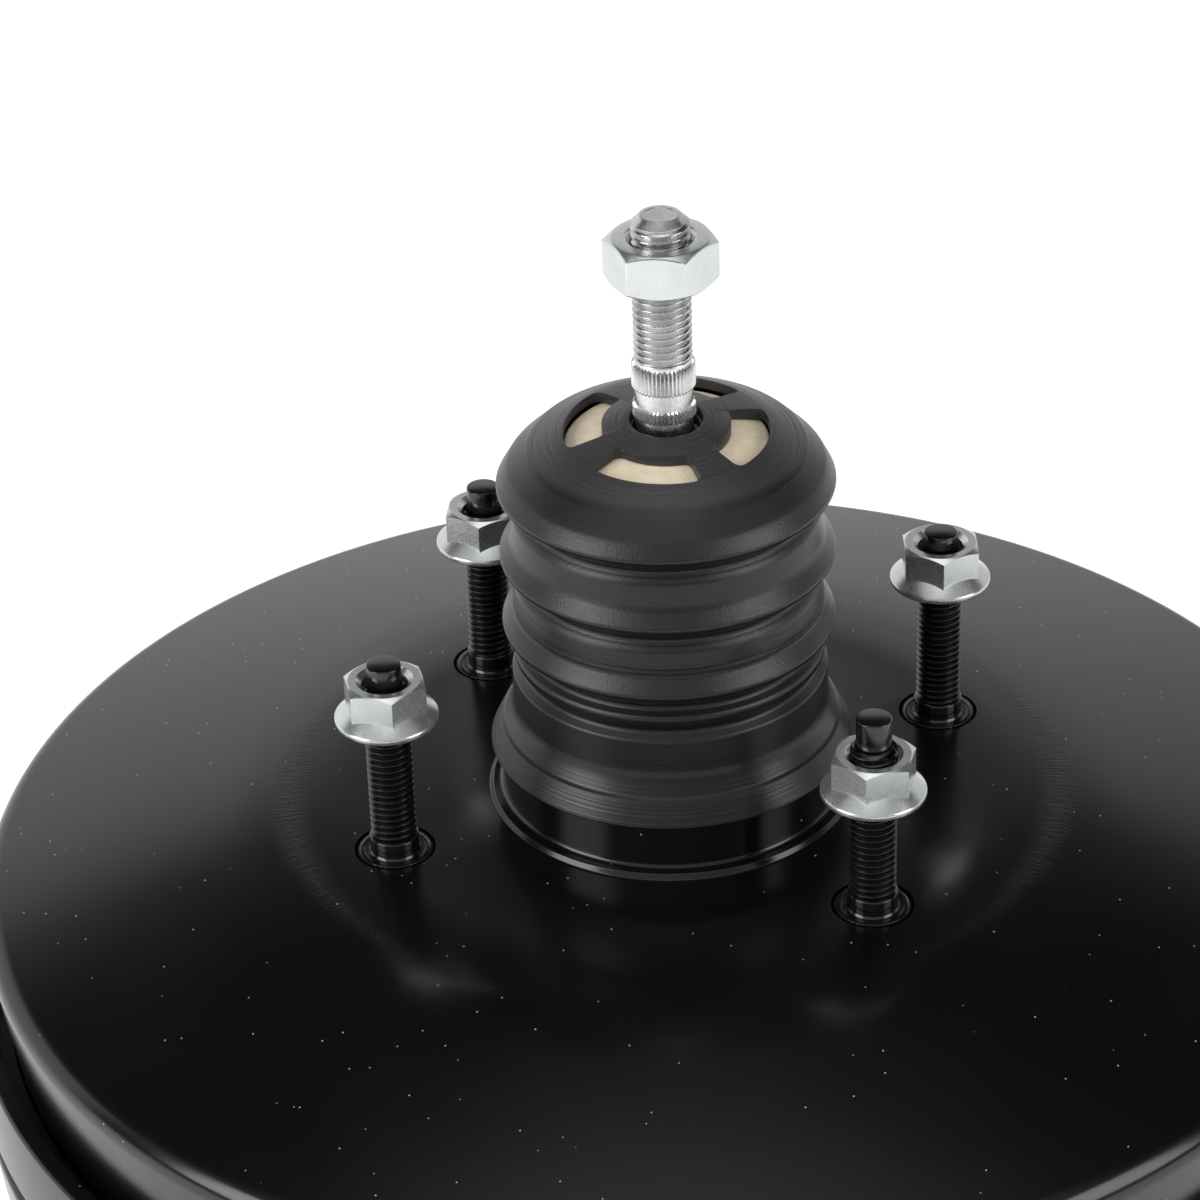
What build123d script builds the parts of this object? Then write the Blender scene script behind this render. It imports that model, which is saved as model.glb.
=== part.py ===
from build123d import *
from math import atan2, cos, pi, radians, sin, sqrt, tan
import os

# Vacuum brake booster, single diaphragm, 10 inch class. Millimetres.
# +Z runs along the push rod towards the pedal. z = 0 is the flat mounting face of the rear
# shell, and the origin is the middle of its four studs. +X is the long side of the stud pattern.

# ---- fits ----
seat_gap = 0.3          # soft pieces, and pieces that pass each other without guiding
running_gap = 0.06      # a guide or a bore on the piece that slides in it
thread_gap = 0.05       # radial, between a nut's bore and the stud's thread circle

# ---- travel (the power piston itself has 32) ----
valve_stroke = 1.5      # push rod in the power piston
rod_tilt = 2.5          # degrees, push rod in its socket, either way

# ---- overall size ----
skirt_radius = 127.8
front_face_z = -110.0
neck_radius = 30.0
tail_radius = neck_radius - 9.0        # of the valve body, which slides in the neck

# ---- rear shell ----
rear_sheet = 1.8
wall_radius = skirt_radius - 5.2
neck_height = 12.8
neck_edge_radius = 2.5
step_radius = neck_radius + 2.0     # pressed ledge round the foot of the neck
step_height = 1.0
face_radius = 68.0      # flat mounting face
face_bend = 60.0        # soft turn from the face into the cone
shoulder_drop = 9.4     # the cone's fall from the flat face to the corner with the wall
shoulder_bend = 9.0
wall_draft = 0.5
rear_rim_z = -36.2      # where the wall turns out over the diaphragm's bead

# ---- front shell ----
front_sheet = 2.0
lip_z = -29.4           # rolled edge round the rear shell
skirt_draft = 0.8
skirt_top_z = -36.0
skirt_low_z = -44.6
bead_groove_z = -46.9
bead_groove_depth = 3.2
bowl_wall_z = -66.0
bowl_wall_radius = skirt_radius - 2.3
ledge_z = front_face_z + 9.0
ledge_radius = skirt_radius - 27.8
front_face_radius = 58.0
front_bore_radius = 21.0
front_bore_length = 12.0

# ---- mounting studs and nuts ----
stud_x = 84.5           # stud to stud
stud_y = 63.0
stud_thread_radius = 4.0
stud_shank_radius = stud_thread_radius + 0.3
stud_shank_length = 3.0
stud_length = 37.4
stud_point_radius = stud_thread_radius - 1.0
stud_point_length = 5.0
stud_collar_radius = stud_shank_radius + 2.5
stud_head_radius = stud_collar_radius + 2.2
stud_head_height = 3.0
nut_flats = 3.25 * stud_thread_radius
nut_height = 8.0
nut_flange_radius = nut_flats / 2 + 2.45
nut_flange_height = 1.2
nut_cone_height = 1.7
nut_chamfer = 0.9       # countersink of the threaded hole
nut_heights = {(-1, -1): 26.4, (1, -1): 22.5, (1, 1): 27.4, (-1, 1): 25.5}    # foot of each flange
nut_turns = {(-1, -1): 26.0, (1, -1): 1.0, (1, 1): 15.0, (-1, 1): 8.0}

# ---- master cylinder studs ----
cylinder_studs_apart = 90.0
cylinder_stud_length = 25.0
front_plate_thickness = 3.0
front_plate_radius = 53.0
front_plate_hole = tail_radius + 6.0

# ---- stud plate ----
stud_plate_thickness = 3.0
stud_plate_radius = 64.0
stud_plate_hole = neck_radius + 1.0

# ---- push rod ----
rod_end_z = 110.5
rod_thread_radius = 5.0
rod_end_radius = rod_thread_radius - 1.5
rod_thread_foot_z = 84.0
knurl_radius = rod_thread_radius + 0.45
knurl_length = 5.2
rod_groove_radius = rod_thread_radius - 0.45
rod_groove_length = 2.6
rod_shank_radius = 3.9
rod_collar_z = 48.0
ball_radius = 5.3
ball_z = 8.0
rod_nut_flats = 3.4 * rod_thread_radius
rod_nut_height = 8.0
rod_nut_z = 98.5

# ---- dust boot ----
boot_wall = 1.8
boot_top_z = 72.6
boot_hole_radius = knurl_radius + 0.85
boot_hub_radius = boot_hole_radius + 1.7       # sleeve round the rod's hole, under the cap
boot_hub_height = 3.4
boot_dome_radius = neck_radius - 12.0     # where the cap's top turns down
boot_dome_drop = 2.2
boot_cap_radius = neck_radius - 6.1
boot_cap_drop = 5.4
boot_shoulder_radius = neck_radius - 2.6      # the convex shoulder between the cap and the first fold
boot_shoulder_z = 64.4
boot_crest_radius = neck_radius - 0.6
boot_valley_radius = neck_radius - 5.0
boot_rim_radius = neck_radius - 3.4     # upper edge of each fold
boot_slope_radius = neck_radius - 3.0
boot_first_crest_z = 60.6
boot_pitch = 13.2
boot_folds = 3
boot_body_radius = neck_radius - 1.2
boot_ridge_z = 29.4      # rounded ridge under the last fold
boot_ridge_radius = neck_radius - 2.7
boot_ridge_height = 1.6
boot_body_top_z = 24.9
boot_body_top_radius = neck_radius - 2.4
boot_foot_valley_z = 14.6
boot_lip_z = 10.0
boot_lip_radius = neck_radius + 2.0
vent_inner_radius = boot_hub_radius + 3.0
vent_outer_radius = boot_cap_radius - 6.3
vent_span = 67.0        # degrees
vent_corner = 1.4
vents = 4

# ---- valve body ----
tail_wall = 3.1
tail_top_z = 65.2
flange_z = -17.8        # rear face, which carries the diaphragm plate
flange_thickness = 5.2
flange_radius = tail_radius + 15.0
nose_z = -52.0
nose_radius = 20.5
plate_spigot_radius = tail_radius + 3.0
chamber_floor_z = 16.0
seat_height = 2.2
seat_inner_radius = 11.3
seat_outer_radius = 13.0
plunger_bore_end_z = -30.0
reaction_bore_radius = 12.0
reaction_bore_depth = 16.0
duct_radius = 2.0
duct_circle_radius = 15.6
ducts = 4

# ---- valve ----
plunger_radius = 8.5
plunger_head_radius = 9.3
plunger_top_z = 19.0
plunger_head_height = 2.6
plunger_nose_radius = 5.0
plunger_nose_z = -34.2
key_groove_radius = 5.2
key_thickness = 2.5
key_width = 14.0
key_reach = 27.0
key_top_z = -4.3
poppet_thickness = 2.5
poppet_hole_radius = 7.4
poppet_bead_z = 33.0
poppet_bead_height = 3.0
poppet_bead_width = 3.0
retainer_sheet = 1.2
retainer_hole_radius = 9.6
rod_seat_radius = 10.8
rod_seat_thickness = 1.5
filter_support_z = 50.0
filter_support_thickness = 1.5
inner_filter_height = 5.5

# ---- springs: wire radius, mean radius, turns ----
return_wire = 2.0
return_coil_radius = min(tail_radius + 10.0, cylinder_studs_apart / 2 - stud_head_radius - return_wire)
return_turns = 5.5
poppet_wire = 0.5
poppet_coil_radius = 12.4
poppet_turns = 4.0
rod_wire = 0.75
rod_coil_radius = 8.4
rod_turns = 5.0

# ---- diaphragm and its plate ----
plate_sheet = 1.8
plate_step_radius = 62.0
plate_step_drop = 4.2
plate_radius = wall_radius - 18.6
plate_rim_drop = 14.0
plate_rim_bend = 3.0
diaphragm_wall = 2.0
roll_bottom_z = -46.0
bead_height = 5.6
bead_width = 5.0

# ---- output rod ----
reaction_disc_thickness = 3.8
output_head_height = 5.0
output_rod_radius = 5.0
output_rod_z = front_face_z + 26.0
output_screw_tip_z = output_rod_z - 9.0
output_screw_radius = 3.0
output_screw_head_radius = 4.6
output_screw_head_height = 6.0

# ---- hub ring and seal ----
bearing_height = 4.2
seal_retainer_height = 2.6
seal_retainer_hole = tail_radius + 1.6

# ---- vacuum check valve ----
valve_reach = 78.0      # from the booster's axis, along +Y
valve_hole_radius = 9.5
grommet_bore_radius = 6.2
grommet_flange_radius = 14.0
grommet_lip_radius = 11.5
grommet_lip_height = 2.5
check_body_radius = 12.5
check_body_height = 7.0
check_elbow_radius = 5.9
check_nozzle_radius = 4.75
check_nozzle_bore = 3.0
check_nozzle_length = 34.0    # from the valve's own axis to the tip
check_nozzle_bite = 2.6       # how far the nozzle's top lies in the valve's body
check_cap_height = 1.4


# ---- ways of making a piece ----

def corner(point):
    """The (r, z) of a corner; a third number is its bend radius."""
    return (point[0], point[1])


def bend(point):
    return point[2] if len(point) > 2 else 0


def bend_that_fits(before, point, after):
    """A corner's bend radius, no larger than its two straight runs have room for."""
    run_in = sqrt((point[0] - before[0]) ** 2 + (point[1] - before[1]) ** 2)
    run_out = sqrt((after[0] - point[0]) ** 2 + (after[1] - point[1]) ** 2)
    heading_in = atan2(point[1] - before[1], point[0] - before[0])
    heading_out = atan2(after[1] - point[1], after[0] - point[0])
    turn = abs((heading_out - heading_in + pi) % (2 * pi) - pi)
    if turn < radians(0.5):
        return 0.0
    return min(bend(point), 0.45 * min(run_in, run_out) / tan(turn / 2))


def turned(*corners):
    """Solid turned about Z from a closed outline of (r, z) or (r, z, bend radius) corners."""
    befores = corners[-1:] + corners[:-1]
    afters = corners[1:] + corners[:1]
    bends = [bend_that_fits(*three) for three in zip(befores, corners, afters)]
    outline = FilletPolyline(*[corner(c) for c in corners], radius=bends, close=True)
    return revolve(Plane.XZ * make_face(outline), axis=Axis.Z)


def shifted(line, thickness):
    """A bent line moved to its right by a thickness, with its bends opened or closed to match."""
    angles = [atan2(b[1] - a[1], b[0] - a[0]) for a, b in zip(line, line[1:])]
    first = line[0]
    moved = [(first[0] + thickness * sin(angles[0]), first[1] - thickness * cos(angles[0]))]
    for point, before, after in zip(line[1:], angles, angles[1:]):
        turn = (after - before + pi) % (2 * pi) - pi
        middle = before + turn / 2
        reach = thickness / cos(turn / 2)
        radius = bend(point) + (thickness if turn > 0 else -thickness)
        place = (point[0] + reach * sin(middle), point[1] - reach * cos(middle))
        moved.append((*place, max(radius, 0.0) if bend(point) else 0.0))
    last = line[-1]
    moved.append((last[0] + thickness * sin(angles[-1]), last[1] - thickness * cos(angles[-1])))
    return moved


def pressed(line, thickness):
    """Sheet of one thickness turned about Z, on the right of a bent line of (r, z) corners."""
    return turned(*line, *reversed(shifted(line, thickness)))


def drilled(piece, radius, places):
    """Piece with through holes along Z at (x, y) places."""
    drill = Cylinder(radius, 600)
    return piece - [Pos(x, y, 0) * drill for x, y in places]


def hexagon(flats, height, turn, ends=(0, 1)):
    """Hexagonal prism standing on z = 0; ends 0 and 1, the foot and the top, get a 30 degree chamfer."""
    prism = extrude(RegularPolygon(flats / 2, 6, major_radius=False, rotation=turn), height)
    chamfer_radius = flats / 2 * 0.97
    outside = flats / sqrt(3) + 1
    fall = (outside - chamfer_radius) * tan(radians(30))
    foot = [(chamfer_radius, 0), (outside, fall)] if 0 in ends else [(outside, 0)]
    top = [(outside, height - fall), (chamfer_radius, height)] if 1 in ends else [(outside, height)]
    return prism & turned((0, 0), *foot, *top, (0, height))


def countersink(bore, z, depth, way):
    """Cone that opens a bore at height z; way is +1 for a top face and -1 for a foot."""
    past = 0.1 * way
    return turned((0, z - depth * way), (bore, z - depth * way), (bore + depth, z + past), (0, z + past))


def coil(wire, radius, low, high, turns):
    """Round-wire compression spring between two heights."""
    height = high - low - 2 * wire
    path = Pos(0, 0, low + wire) * Helix(pitch=height / turns, height=height, radius=radius)
    start = Plane(origin=path @ 0, z_dir=path % 0)
    return sweep(start * Circle(wire), path=path)


def around(count, radius, offset=0.0):
    """Evenly spaced (x, y) places on a circle; offset in degrees."""
    angles = [radians(offset + 360 * i / count) for i in range(count)]
    return [(radius * cos(a), radius * sin(a)) for a in angles]


# ---- places that several pieces share ----
stud_signs = [(-1, -1), (1, -1), (1, 1), (-1, 1)]
stud_places = [(sx * stud_x / 2, sy * stud_y / 2) for sx, sy in stud_signs]
cylinder_stud_places = [(-cylinder_studs_apart / 2, 0), (cylinder_studs_apart / 2, 0)]
neck_bore = neck_radius - rear_sheet
tail_bore = tail_radius - tail_wall
seal_retainer_foot = key_top_z + seat_gap
seal_foot = seal_retainer_foot + seal_retainer_height + seat_gap
bead_low_z = bead_groove_z + 1.1 + front_sheet
flange_front_z = flange_z - flange_thickness
retainer_floor_z = poppet_bead_z - 1.5


# ---- shells ----

def rear_shell():
    wall_foot = wall_radius + wall_draft
    rim_radius = skirt_radius - skirt_draft - front_sheet - 2 * seat_gap
    outside = [
        (tail_radius + 1.6, neck_height),
        (neck_radius, neck_height, neck_edge_radius),
        (neck_radius, step_height, 0.9),
        (step_radius, step_height, 0.5),
        (step_radius + 0.5, 0.0, 0.4),
        (face_radius, 0.0, face_bend),
        (wall_radius, -shoulder_drop, shoulder_bend),
        (wall_foot, rear_rim_z, 0.6),
        (rim_radius, rear_rim_z),
    ]
    return drilled(pressed(outside, rear_sheet), stud_collar_radius + seat_gap, stud_places)


def front_shell():
    lip_inner = wall_radius + wall_draft + seat_gap
    bore_outer = front_bore_radius + front_sheet
    bore_top = front_face_z + front_bore_length
    groove_radius = skirt_radius - bead_groove_depth
    outside = [
        (lip_inner + front_sheet * 0.8, lip_z, 0.0),
        (skirt_radius - skirt_draft, skirt_top_z, 2.5),
        (skirt_radius, skirt_low_z, 1.2),
        (groove_radius, bead_groove_z, 0.9),
        (skirt_radius - 0.4, bead_groove_z - 2.6, 1.4),
        (bowl_wall_radius, bowl_wall_z, 18.0),
        (ledge_radius, ledge_z, 12.0),
        (front_face_radius + 3.0, ledge_z, 4.0),
        (front_face_radius, front_face_z, 4.0),
        (front_bore_radius, front_face_z, 2.6),
        (front_bore_radius, bore_top),
    ]
    shell = pressed(outside, front_sheet)
    shell = drilled(shell, stud_collar_radius + seat_gap, cylinder_stud_places)
    return drilled(shell, valve_hole_radius, [(0, valve_reach)])


def stud_plate():
    top = -rear_sheet
    foot = top - stud_plate_thickness
    edge = [(stud_plate_radius, top, 1.0), (stud_plate_radius, foot)]
    ring = turned((stud_plate_hole, top), *edge, (stud_plate_hole, foot))
    return drilled(ring, stud_collar_radius + seat_gap, stud_places)


def front_plate():
    low = front_face_z + front_sheet
    top = low + front_plate_thickness
    edge = [(front_plate_radius, top, 1.0), (front_plate_radius, low)]
    ring = turned((front_plate_hole, low), (front_plate_hole, top), *edge)
    return drilled(ring, stud_collar_radius + seat_gap, cylinder_stud_places)


# ---- fasteners ----

def firewall_stud():
    head_top = -rear_sheet - stud_plate_thickness
    thread_top = stud_length - stud_point_length
    return turned(
        (0, head_top - stud_head_height),
        (stud_head_radius, head_top - stud_head_height, 1.0),
        (stud_head_radius, head_top),
        (stud_collar_radius, head_top),
        (stud_collar_radius, 0),
        (stud_shank_radius, 0),
        (stud_shank_radius, stud_shank_length),
        (stud_thread_radius, stud_shank_length + 0.3),
        (stud_thread_radius, thread_top - 0.8),
        (stud_point_radius, thread_top),
        (stud_point_radius, stud_length - 0.4),
        (stud_point_radius - 0.4, stud_length),
        (0, stud_length),
    )


def firewall_nut(turn):
    cone_top = nut_flange_height + nut_cone_height
    flange = turned(
        (0, 0),
        (nut_flange_radius, 0, 0.5),
        (nut_flange_radius, nut_flange_height, 0.4),
        (nut_flats / 2 - 0.1, cone_top),
        (0, cone_top),
    )
    bore = stud_thread_radius + thread_gap
    nut = hexagon(nut_flats, nut_height, turn, ends=(1,)) + flange
    return nut - Cylinder(bore, 60) - countersink(bore, nut_height, nut_chamfer, 1)


def firewall_studs():
    return Compound(children=[Pos(x, y, 0) * firewall_stud() for x, y in stud_places])


def firewall_nuts():
    nuts = []
    for signs, (x, y) in zip(stud_signs, stud_places):
        nuts.append(Pos(x, y, nut_heights[signs]) * firewall_nut(nut_turns[signs]))
    return Compound(children=nuts)


def cylinder_stud():
    head_foot = front_face_z + front_sheet + front_plate_thickness
    tip = front_face_z - cylinder_stud_length
    return turned(
        (0, head_foot + stud_head_height),
        (stud_head_radius - 1, head_foot + stud_head_height, 1.0),
        (stud_head_radius - 1, head_foot),
        (stud_collar_radius, head_foot),
        (stud_collar_radius, front_face_z),
        (stud_shank_radius, front_face_z),
        (stud_shank_radius, front_face_z - stud_shank_length),
        (stud_thread_radius, front_face_z - stud_shank_length - 0.3),
        (stud_thread_radius, tip + 0.8),
        (stud_point_radius, tip),
        (0, tip),
    )


def master_cylinder_studs():
    return Compound(children=[Pos(x, y, 0) * cylinder_stud() for x, y in cylinder_stud_places])


# ---- push rod ----

def push_rod():
    upper_knurl_foot = rod_thread_foot_z - knurl_length
    lower_knurl_top = upper_knurl_foot - rod_groove_length
    lower_knurl_foot = lower_knurl_top - rod_groove_length
    shaft = turned(
        (0, ball_z),
        (rod_shank_radius, ball_z),
        (rod_shank_radius, rod_collar_z),
        (knurl_radius, rod_collar_z),
        (knurl_radius, lower_knurl_foot - 4.0),
        (rod_groove_radius, lower_knurl_foot - 3.1),
        (rod_groove_radius, lower_knurl_foot),
        (knurl_radius, lower_knurl_foot),
        (knurl_radius, lower_knurl_top - 0.4),
        (rod_groove_radius, lower_knurl_top + 0.3),
        (rod_groove_radius, upper_knurl_foot),
        (knurl_radius, upper_knurl_foot),
        (knurl_radius, rod_thread_foot_z - 0.6),
        (rod_thread_radius, rod_thread_foot_z),
        (rod_thread_radius, rod_end_z - 1.5),
        (rod_end_radius, rod_end_z),
        (0, rod_end_z),
    )
    return shaft + Pos(0, 0, ball_z) * Sphere(ball_radius)


def push_rod_nut():
    bore = rod_thread_radius + thread_gap
    nut = hexagon(rod_nut_flats, rod_nut_height, 22.0) - Cylinder(bore, 60)
    nut = nut - countersink(bore, rod_nut_height, nut_chamfer, 1) - countersink(bore, 0, nut_chamfer, -1)
    return Pos(0, 0, rod_nut_z) * nut


def rod_spring_seat():
    top = rod_collar_z
    low = top - rod_seat_thickness
    hole = rod_shank_radius + running_gap
    return turned((hole, low), (rod_seat_radius, low, 0.4), (rod_seat_radius, top), (hole, top))


# ---- dust boot ----

def boot_folds_line():
    """Cap and folds of the boot from its top hole down, as (r, z, bend radius)."""
    line = [
        (boot_hole_radius, boot_top_z),
        (boot_dome_radius, boot_top_z - boot_dome_drop, 14.0),
        (boot_cap_radius, boot_top_z - boot_cap_drop, 1.2),
        (boot_shoulder_radius, boot_shoulder_z, 3.0),
    ]
    for fold in range(boot_folds):
        crest_z = boot_first_crest_z - fold * boot_pitch
        line.append((boot_crest_radius, crest_z, 1.0))
        line.append((boot_valley_radius, crest_z - boot_pitch * 0.27, 0.8))
        if fold < boot_folds - 1:
            line.append((boot_rim_radius, crest_z - boot_pitch * 0.38, 1.6))
            line.append((boot_slope_radius, crest_z - boot_pitch * 0.76, 4.0))
    return line


def boot_foot_line():
    """Plain part of the boot below its folds, down to the lip."""
    return [
        (boot_body_radius, boot_foot_valley_z + 0.9, 0.6),
        (boot_body_radius - 0.5, boot_foot_valley_z + 0.2, 0.3),
        (boot_body_radius + 1.0, boot_foot_valley_z - 0.2, 0.4),
        (boot_lip_radius, boot_lip_z),
    ]


def boot_ridge_line():
    """Rounded ridge and groove between the last fold and the plain part."""
    ridge_foot = boot_ridge_z - boot_ridge_height
    return [
        (boot_ridge_radius, boot_ridge_z, 1.0),
        (boot_ridge_radius - 0.2, ridge_foot, 1.0),
        (boot_ridge_radius - 1.4, ridge_foot - 1.6, 0.7),
        (boot_body_top_radius, boot_body_top_z, 0.8),
    ]


def boot_neck_clearance():
    """Room for the shell's neck inside the lip."""
    outside = neck_radius + seat_gap
    top = neck_height + seat_gap
    return turned((0, 0), (outside, 0), (outside, top, neck_edge_radius + seat_gap), (0, top))


def vent_slot(turn):
    """Arc-shaped slot with rounded corners, standing on z = 0."""
    far = 3 * vent_outer_radius
    sides = [radians(turn + side * vent_span / 2) for side in (-1, 1)]
    reach = [(far * cos(angle), far * sin(angle)) for angle in sides]
    ring = Circle(vent_outer_radius) - Circle(vent_inner_radius)
    slot = ring & make_face(Polyline((0, 0), *reach, close=True))
    return extrude(fillet(slot.vertices(), vent_corner), boot_top_z)


def dust_boot():
    line = boot_folds_line() + boot_ridge_line() + boot_foot_line()
    inside = shifted(boot_folds_line() + boot_foot_line(), boot_wall)[:-3]
    collar = neck_radius + seat_gap
    lip = [(collar, boot_lip_z), (collar, neck_height), (inside[-1][0], neck_height + 1.0)]
    hub_foot = boot_top_z - boot_hub_height
    hub_top = inside[0][1] - 0.4
    hub = [(boot_hub_radius, hub_top), (boot_hub_radius, hub_foot, 0.4), (boot_hole_radius, hub_foot)]
    boot = turned(*line, *lip, *reversed(inside[1:]), *hub) - boot_neck_clearance()
    for i in range(vents):
        boot -= Pos(0, 0, boot_first_crest_z) * vent_slot(360 * i / vents)
    return boot


# ---- power piston ----

def key_slot():
    """Room for the stop key, open on the +X side of the valve body, with the valve's travel."""
    height = key_thickness + stroke_room()
    width = key_width + 2 * seat_gap
    slot = Box(key_reach + 10, width, height, align=(Align.MIN, Align.CENTER, Align.MAX))
    return Pos(-key_width / 2 - seat_gap, 0, seal_retainer_foot) * slot


def stroke_room():
    return valve_stroke + 2 * seat_gap


def valve_body():
    bore = plunger_radius + running_gap
    head_bore = plunger_head_radius + 1.0
    nose_bore = plunger_nose_radius + 0.4
    seat_top = chamber_floor_z + seat_height
    reaction_floor = nose_z + reaction_bore_depth
    body = turned(
        (tail_radius, tail_top_z, 0.6),
        (tail_radius, flange_z + plate_sheet),
        (plate_spigot_radius, flange_z + plate_sheet),
        (plate_spigot_radius, flange_z),
        (flange_radius, flange_z, 0.8),
        (flange_radius, flange_front_z, 0.8),
        (return_coil_radius - return_wire - seat_gap, flange_front_z, 1.0),
        (plate_spigot_radius, flange_front_z - 9.0, 2.0),
        (nose_radius, nose_z, 0.8),
        (reaction_bore_radius, nose_z),
        (reaction_bore_radius, reaction_floor),
        (nose_bore, reaction_floor),
        (nose_bore, plunger_bore_end_z),
        (bore, plunger_bore_end_z),
        (bore, chamber_floor_z - 1.6),
        (head_bore, chamber_floor_z - 1.6),
        (head_bore, seat_top - 1.0),
        (seat_inner_radius, seat_top),
        (seat_outer_radius, seat_top),
        (seat_outer_radius, chamber_floor_z),
        (tail_bore, chamber_floor_z),
        (tail_bore, tail_top_z, 0.6),
    )
    body = body - key_slot()
    duct_places = around(ducts, duct_circle_radius, 45)
    return drilled_between(body, duct_radius, duct_places, nose_z, chamber_floor_z)


def drilled_between(piece, radius, places, low, high):
    """Piece with holes along Z that run a little past two heights."""
    drill = Cylinder(radius, high - low + 2, align=(Align.CENTER, Align.CENTER, Align.MIN))
    return piece - [Pos(x, y, low - 1) * drill for x, y in places]


def stop_key():
    length = key_width / 2 + key_reach
    plate = Box(length, key_width, key_thickness, align=(Align.MIN, Align.CENTER, Align.MAX))
    gap = key_groove_radius + seat_gap
    fork = Cylinder(gap, 3 * key_thickness)
    fork += Box(key_width, 2 * gap, 3 * key_thickness, align=(Align.MAX, Align.CENTER, Align.CENTER))
    return Pos(0, 0, key_top_z) * (Pos(-key_width / 2, 0, 0) * plate - fork)


def valve_retainer():
    top = poppet_bead_z + poppet_bead_height + seat_gap + retainer_sheet
    foot = retainer_floor_z + retainer_sheet
    tube = tail_bore - poppet_bead_width - retainer_sheet
    rim = tail_bore - seat_gap / 2
    outside = [
        (rim, top),
        (tube, top, 0.9),
        (tube, foot, 0.9),
        (retainer_hole_radius, foot),
    ]
    return turned(*outside, *reversed(shifted(outside, -retainer_sheet)))


def poppet_valve():
    low = plunger_top_z + seat_gap
    lip_top = low + poppet_thickness
    outer = tail_bore - seat_gap / 2
    inner = tail_bore - poppet_bead_width + seat_gap / 2
    bead_top = poppet_bead_z + poppet_bead_height
    skirt = 1.0
    return turned(
        (poppet_hole_radius, low),
        (seat_outer_radius + 1.6, low, 0.5),
        (seat_outer_radius + 1.6, lip_top - 0.4, 0.5),
        (inner + skirt, lip_top + 4.0, 1.0),
        (inner + skirt, poppet_bead_z),
        (outer, poppet_bead_z, 0.4),
        (outer, bead_top, 0.4),
        (inner, bead_top),
        (inner, lip_top + 4.0, 1.0),
        (seat_outer_radius + 0.8, lip_top, 0.3),
        (poppet_hole_radius, lip_top, 0.4),
    )


def filter_support():
    low = filter_support_z
    top = low + filter_support_thickness
    outer = tail_bore - seat_gap / 2
    ring = turned((rod_spring_room(), low), (outer, low), (outer, top), (rod_spring_room(), top))
    hole_radius = 1.6
    ring_middle = (rod_spring_room() + outer) / 2
    return drilled(ring, hole_radius, around(8, ring_middle))


def rod_spring_room():
    """Radius that the tilting rod's shoulder needs."""
    return knurl_radius + (filter_support_z - ball_z) * tan(radians(rod_tilt)) + 1.0


def inner_filter():
    low = filter_support_z + filter_support_thickness
    outer = tail_bore - seat_gap / 2
    high = low + inner_filter_height
    inner = knurl_radius + seat_gap
    return turned((inner, low), (outer, low), (outer, high), (inner, high))


def foam_filter():
    """Foam ring whose top follows the inside of the boot's cap and stays clear of its hub."""
    low = filter_support_z + filter_support_thickness + inner_filter_height
    inner = knurl_radius + seat_gap
    outer = tail_bore - seat_gap / 2
    hub_foot = boot_top_z - boot_hub_height - seat_gap
    cap_slope = boot_dome_drop / (boot_dome_radius - boot_hole_radius)
    cap_inside = boot_top_z - boot_wall * sqrt(1 + cap_slope ** 2) - seat_gap
    hub_outer = boot_hub_radius + seat_gap
    return turned(
        (inner, low),
        (outer, low),
        (outer, cap_inside - (outer - boot_hole_radius) * cap_slope - 0.4, 1.0),
        (hub_outer, cap_inside - (hub_outer - boot_hole_radius) * cap_slope),
        (hub_outer, hub_foot),
        (inner, hub_foot),
    )


def plunger():
    head_foot = plunger_top_z - plunger_head_height
    shoulder = chamber_floor_z - 1.6 - 12.0
    groove_top = key_top_z + valve_stroke + seat_gap
    groove_foot = key_top_z - key_thickness - seat_gap
    socket_radius = ball_radius + running_gap
    mouth = rod_shank_radius + (plunger_top_z - ball_z) * tan(radians(rod_tilt)) + 0.5
    body = turned(
        (0, plunger_top_z),
        (plunger_head_radius, plunger_top_z),
        (plunger_head_radius, head_foot),
        (plunger_radius, head_foot),
        (plunger_radius, groove_top),
        (key_groove_radius, groove_top),
        (key_groove_radius, groove_foot),
        (plunger_radius, groove_foot),
        (plunger_radius, plunger_bore_end_z + valve_stroke + seat_gap),
        (plunger_nose_radius, plunger_bore_end_z + valve_stroke + seat_gap),
        (plunger_nose_radius, plunger_nose_z),
        (0, plunger_nose_z),
    )
    socket = Pos(0, 0, ball_z) * Sphere(socket_radius)
    neck = Pos(0, 0, ball_z) * Cylinder(mouth, 40, align=(Align.CENTER, Align.CENTER, Align.MIN))
    return body - socket - neck


# ---- diaphragm ----

def plate_line():
    """Front line of the diaphragm plate, from the hub to the rim."""
    return [
        (plate_spigot_radius + running_gap, flange_z),
        (plate_step_radius, flange_z, 8.0),
        (plate_step_radius + 10.0, flange_z - plate_step_drop, 8.0),
        (plate_radius - plate_sheet, flange_z - plate_step_drop, plate_rim_bend),
        (plate_radius - plate_sheet, flange_z - plate_rim_drop),
    ]


def diaphragm_plate():
    line = plate_line()
    return turned(*line, *reversed(shifted(line, -plate_sheet)))


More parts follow.
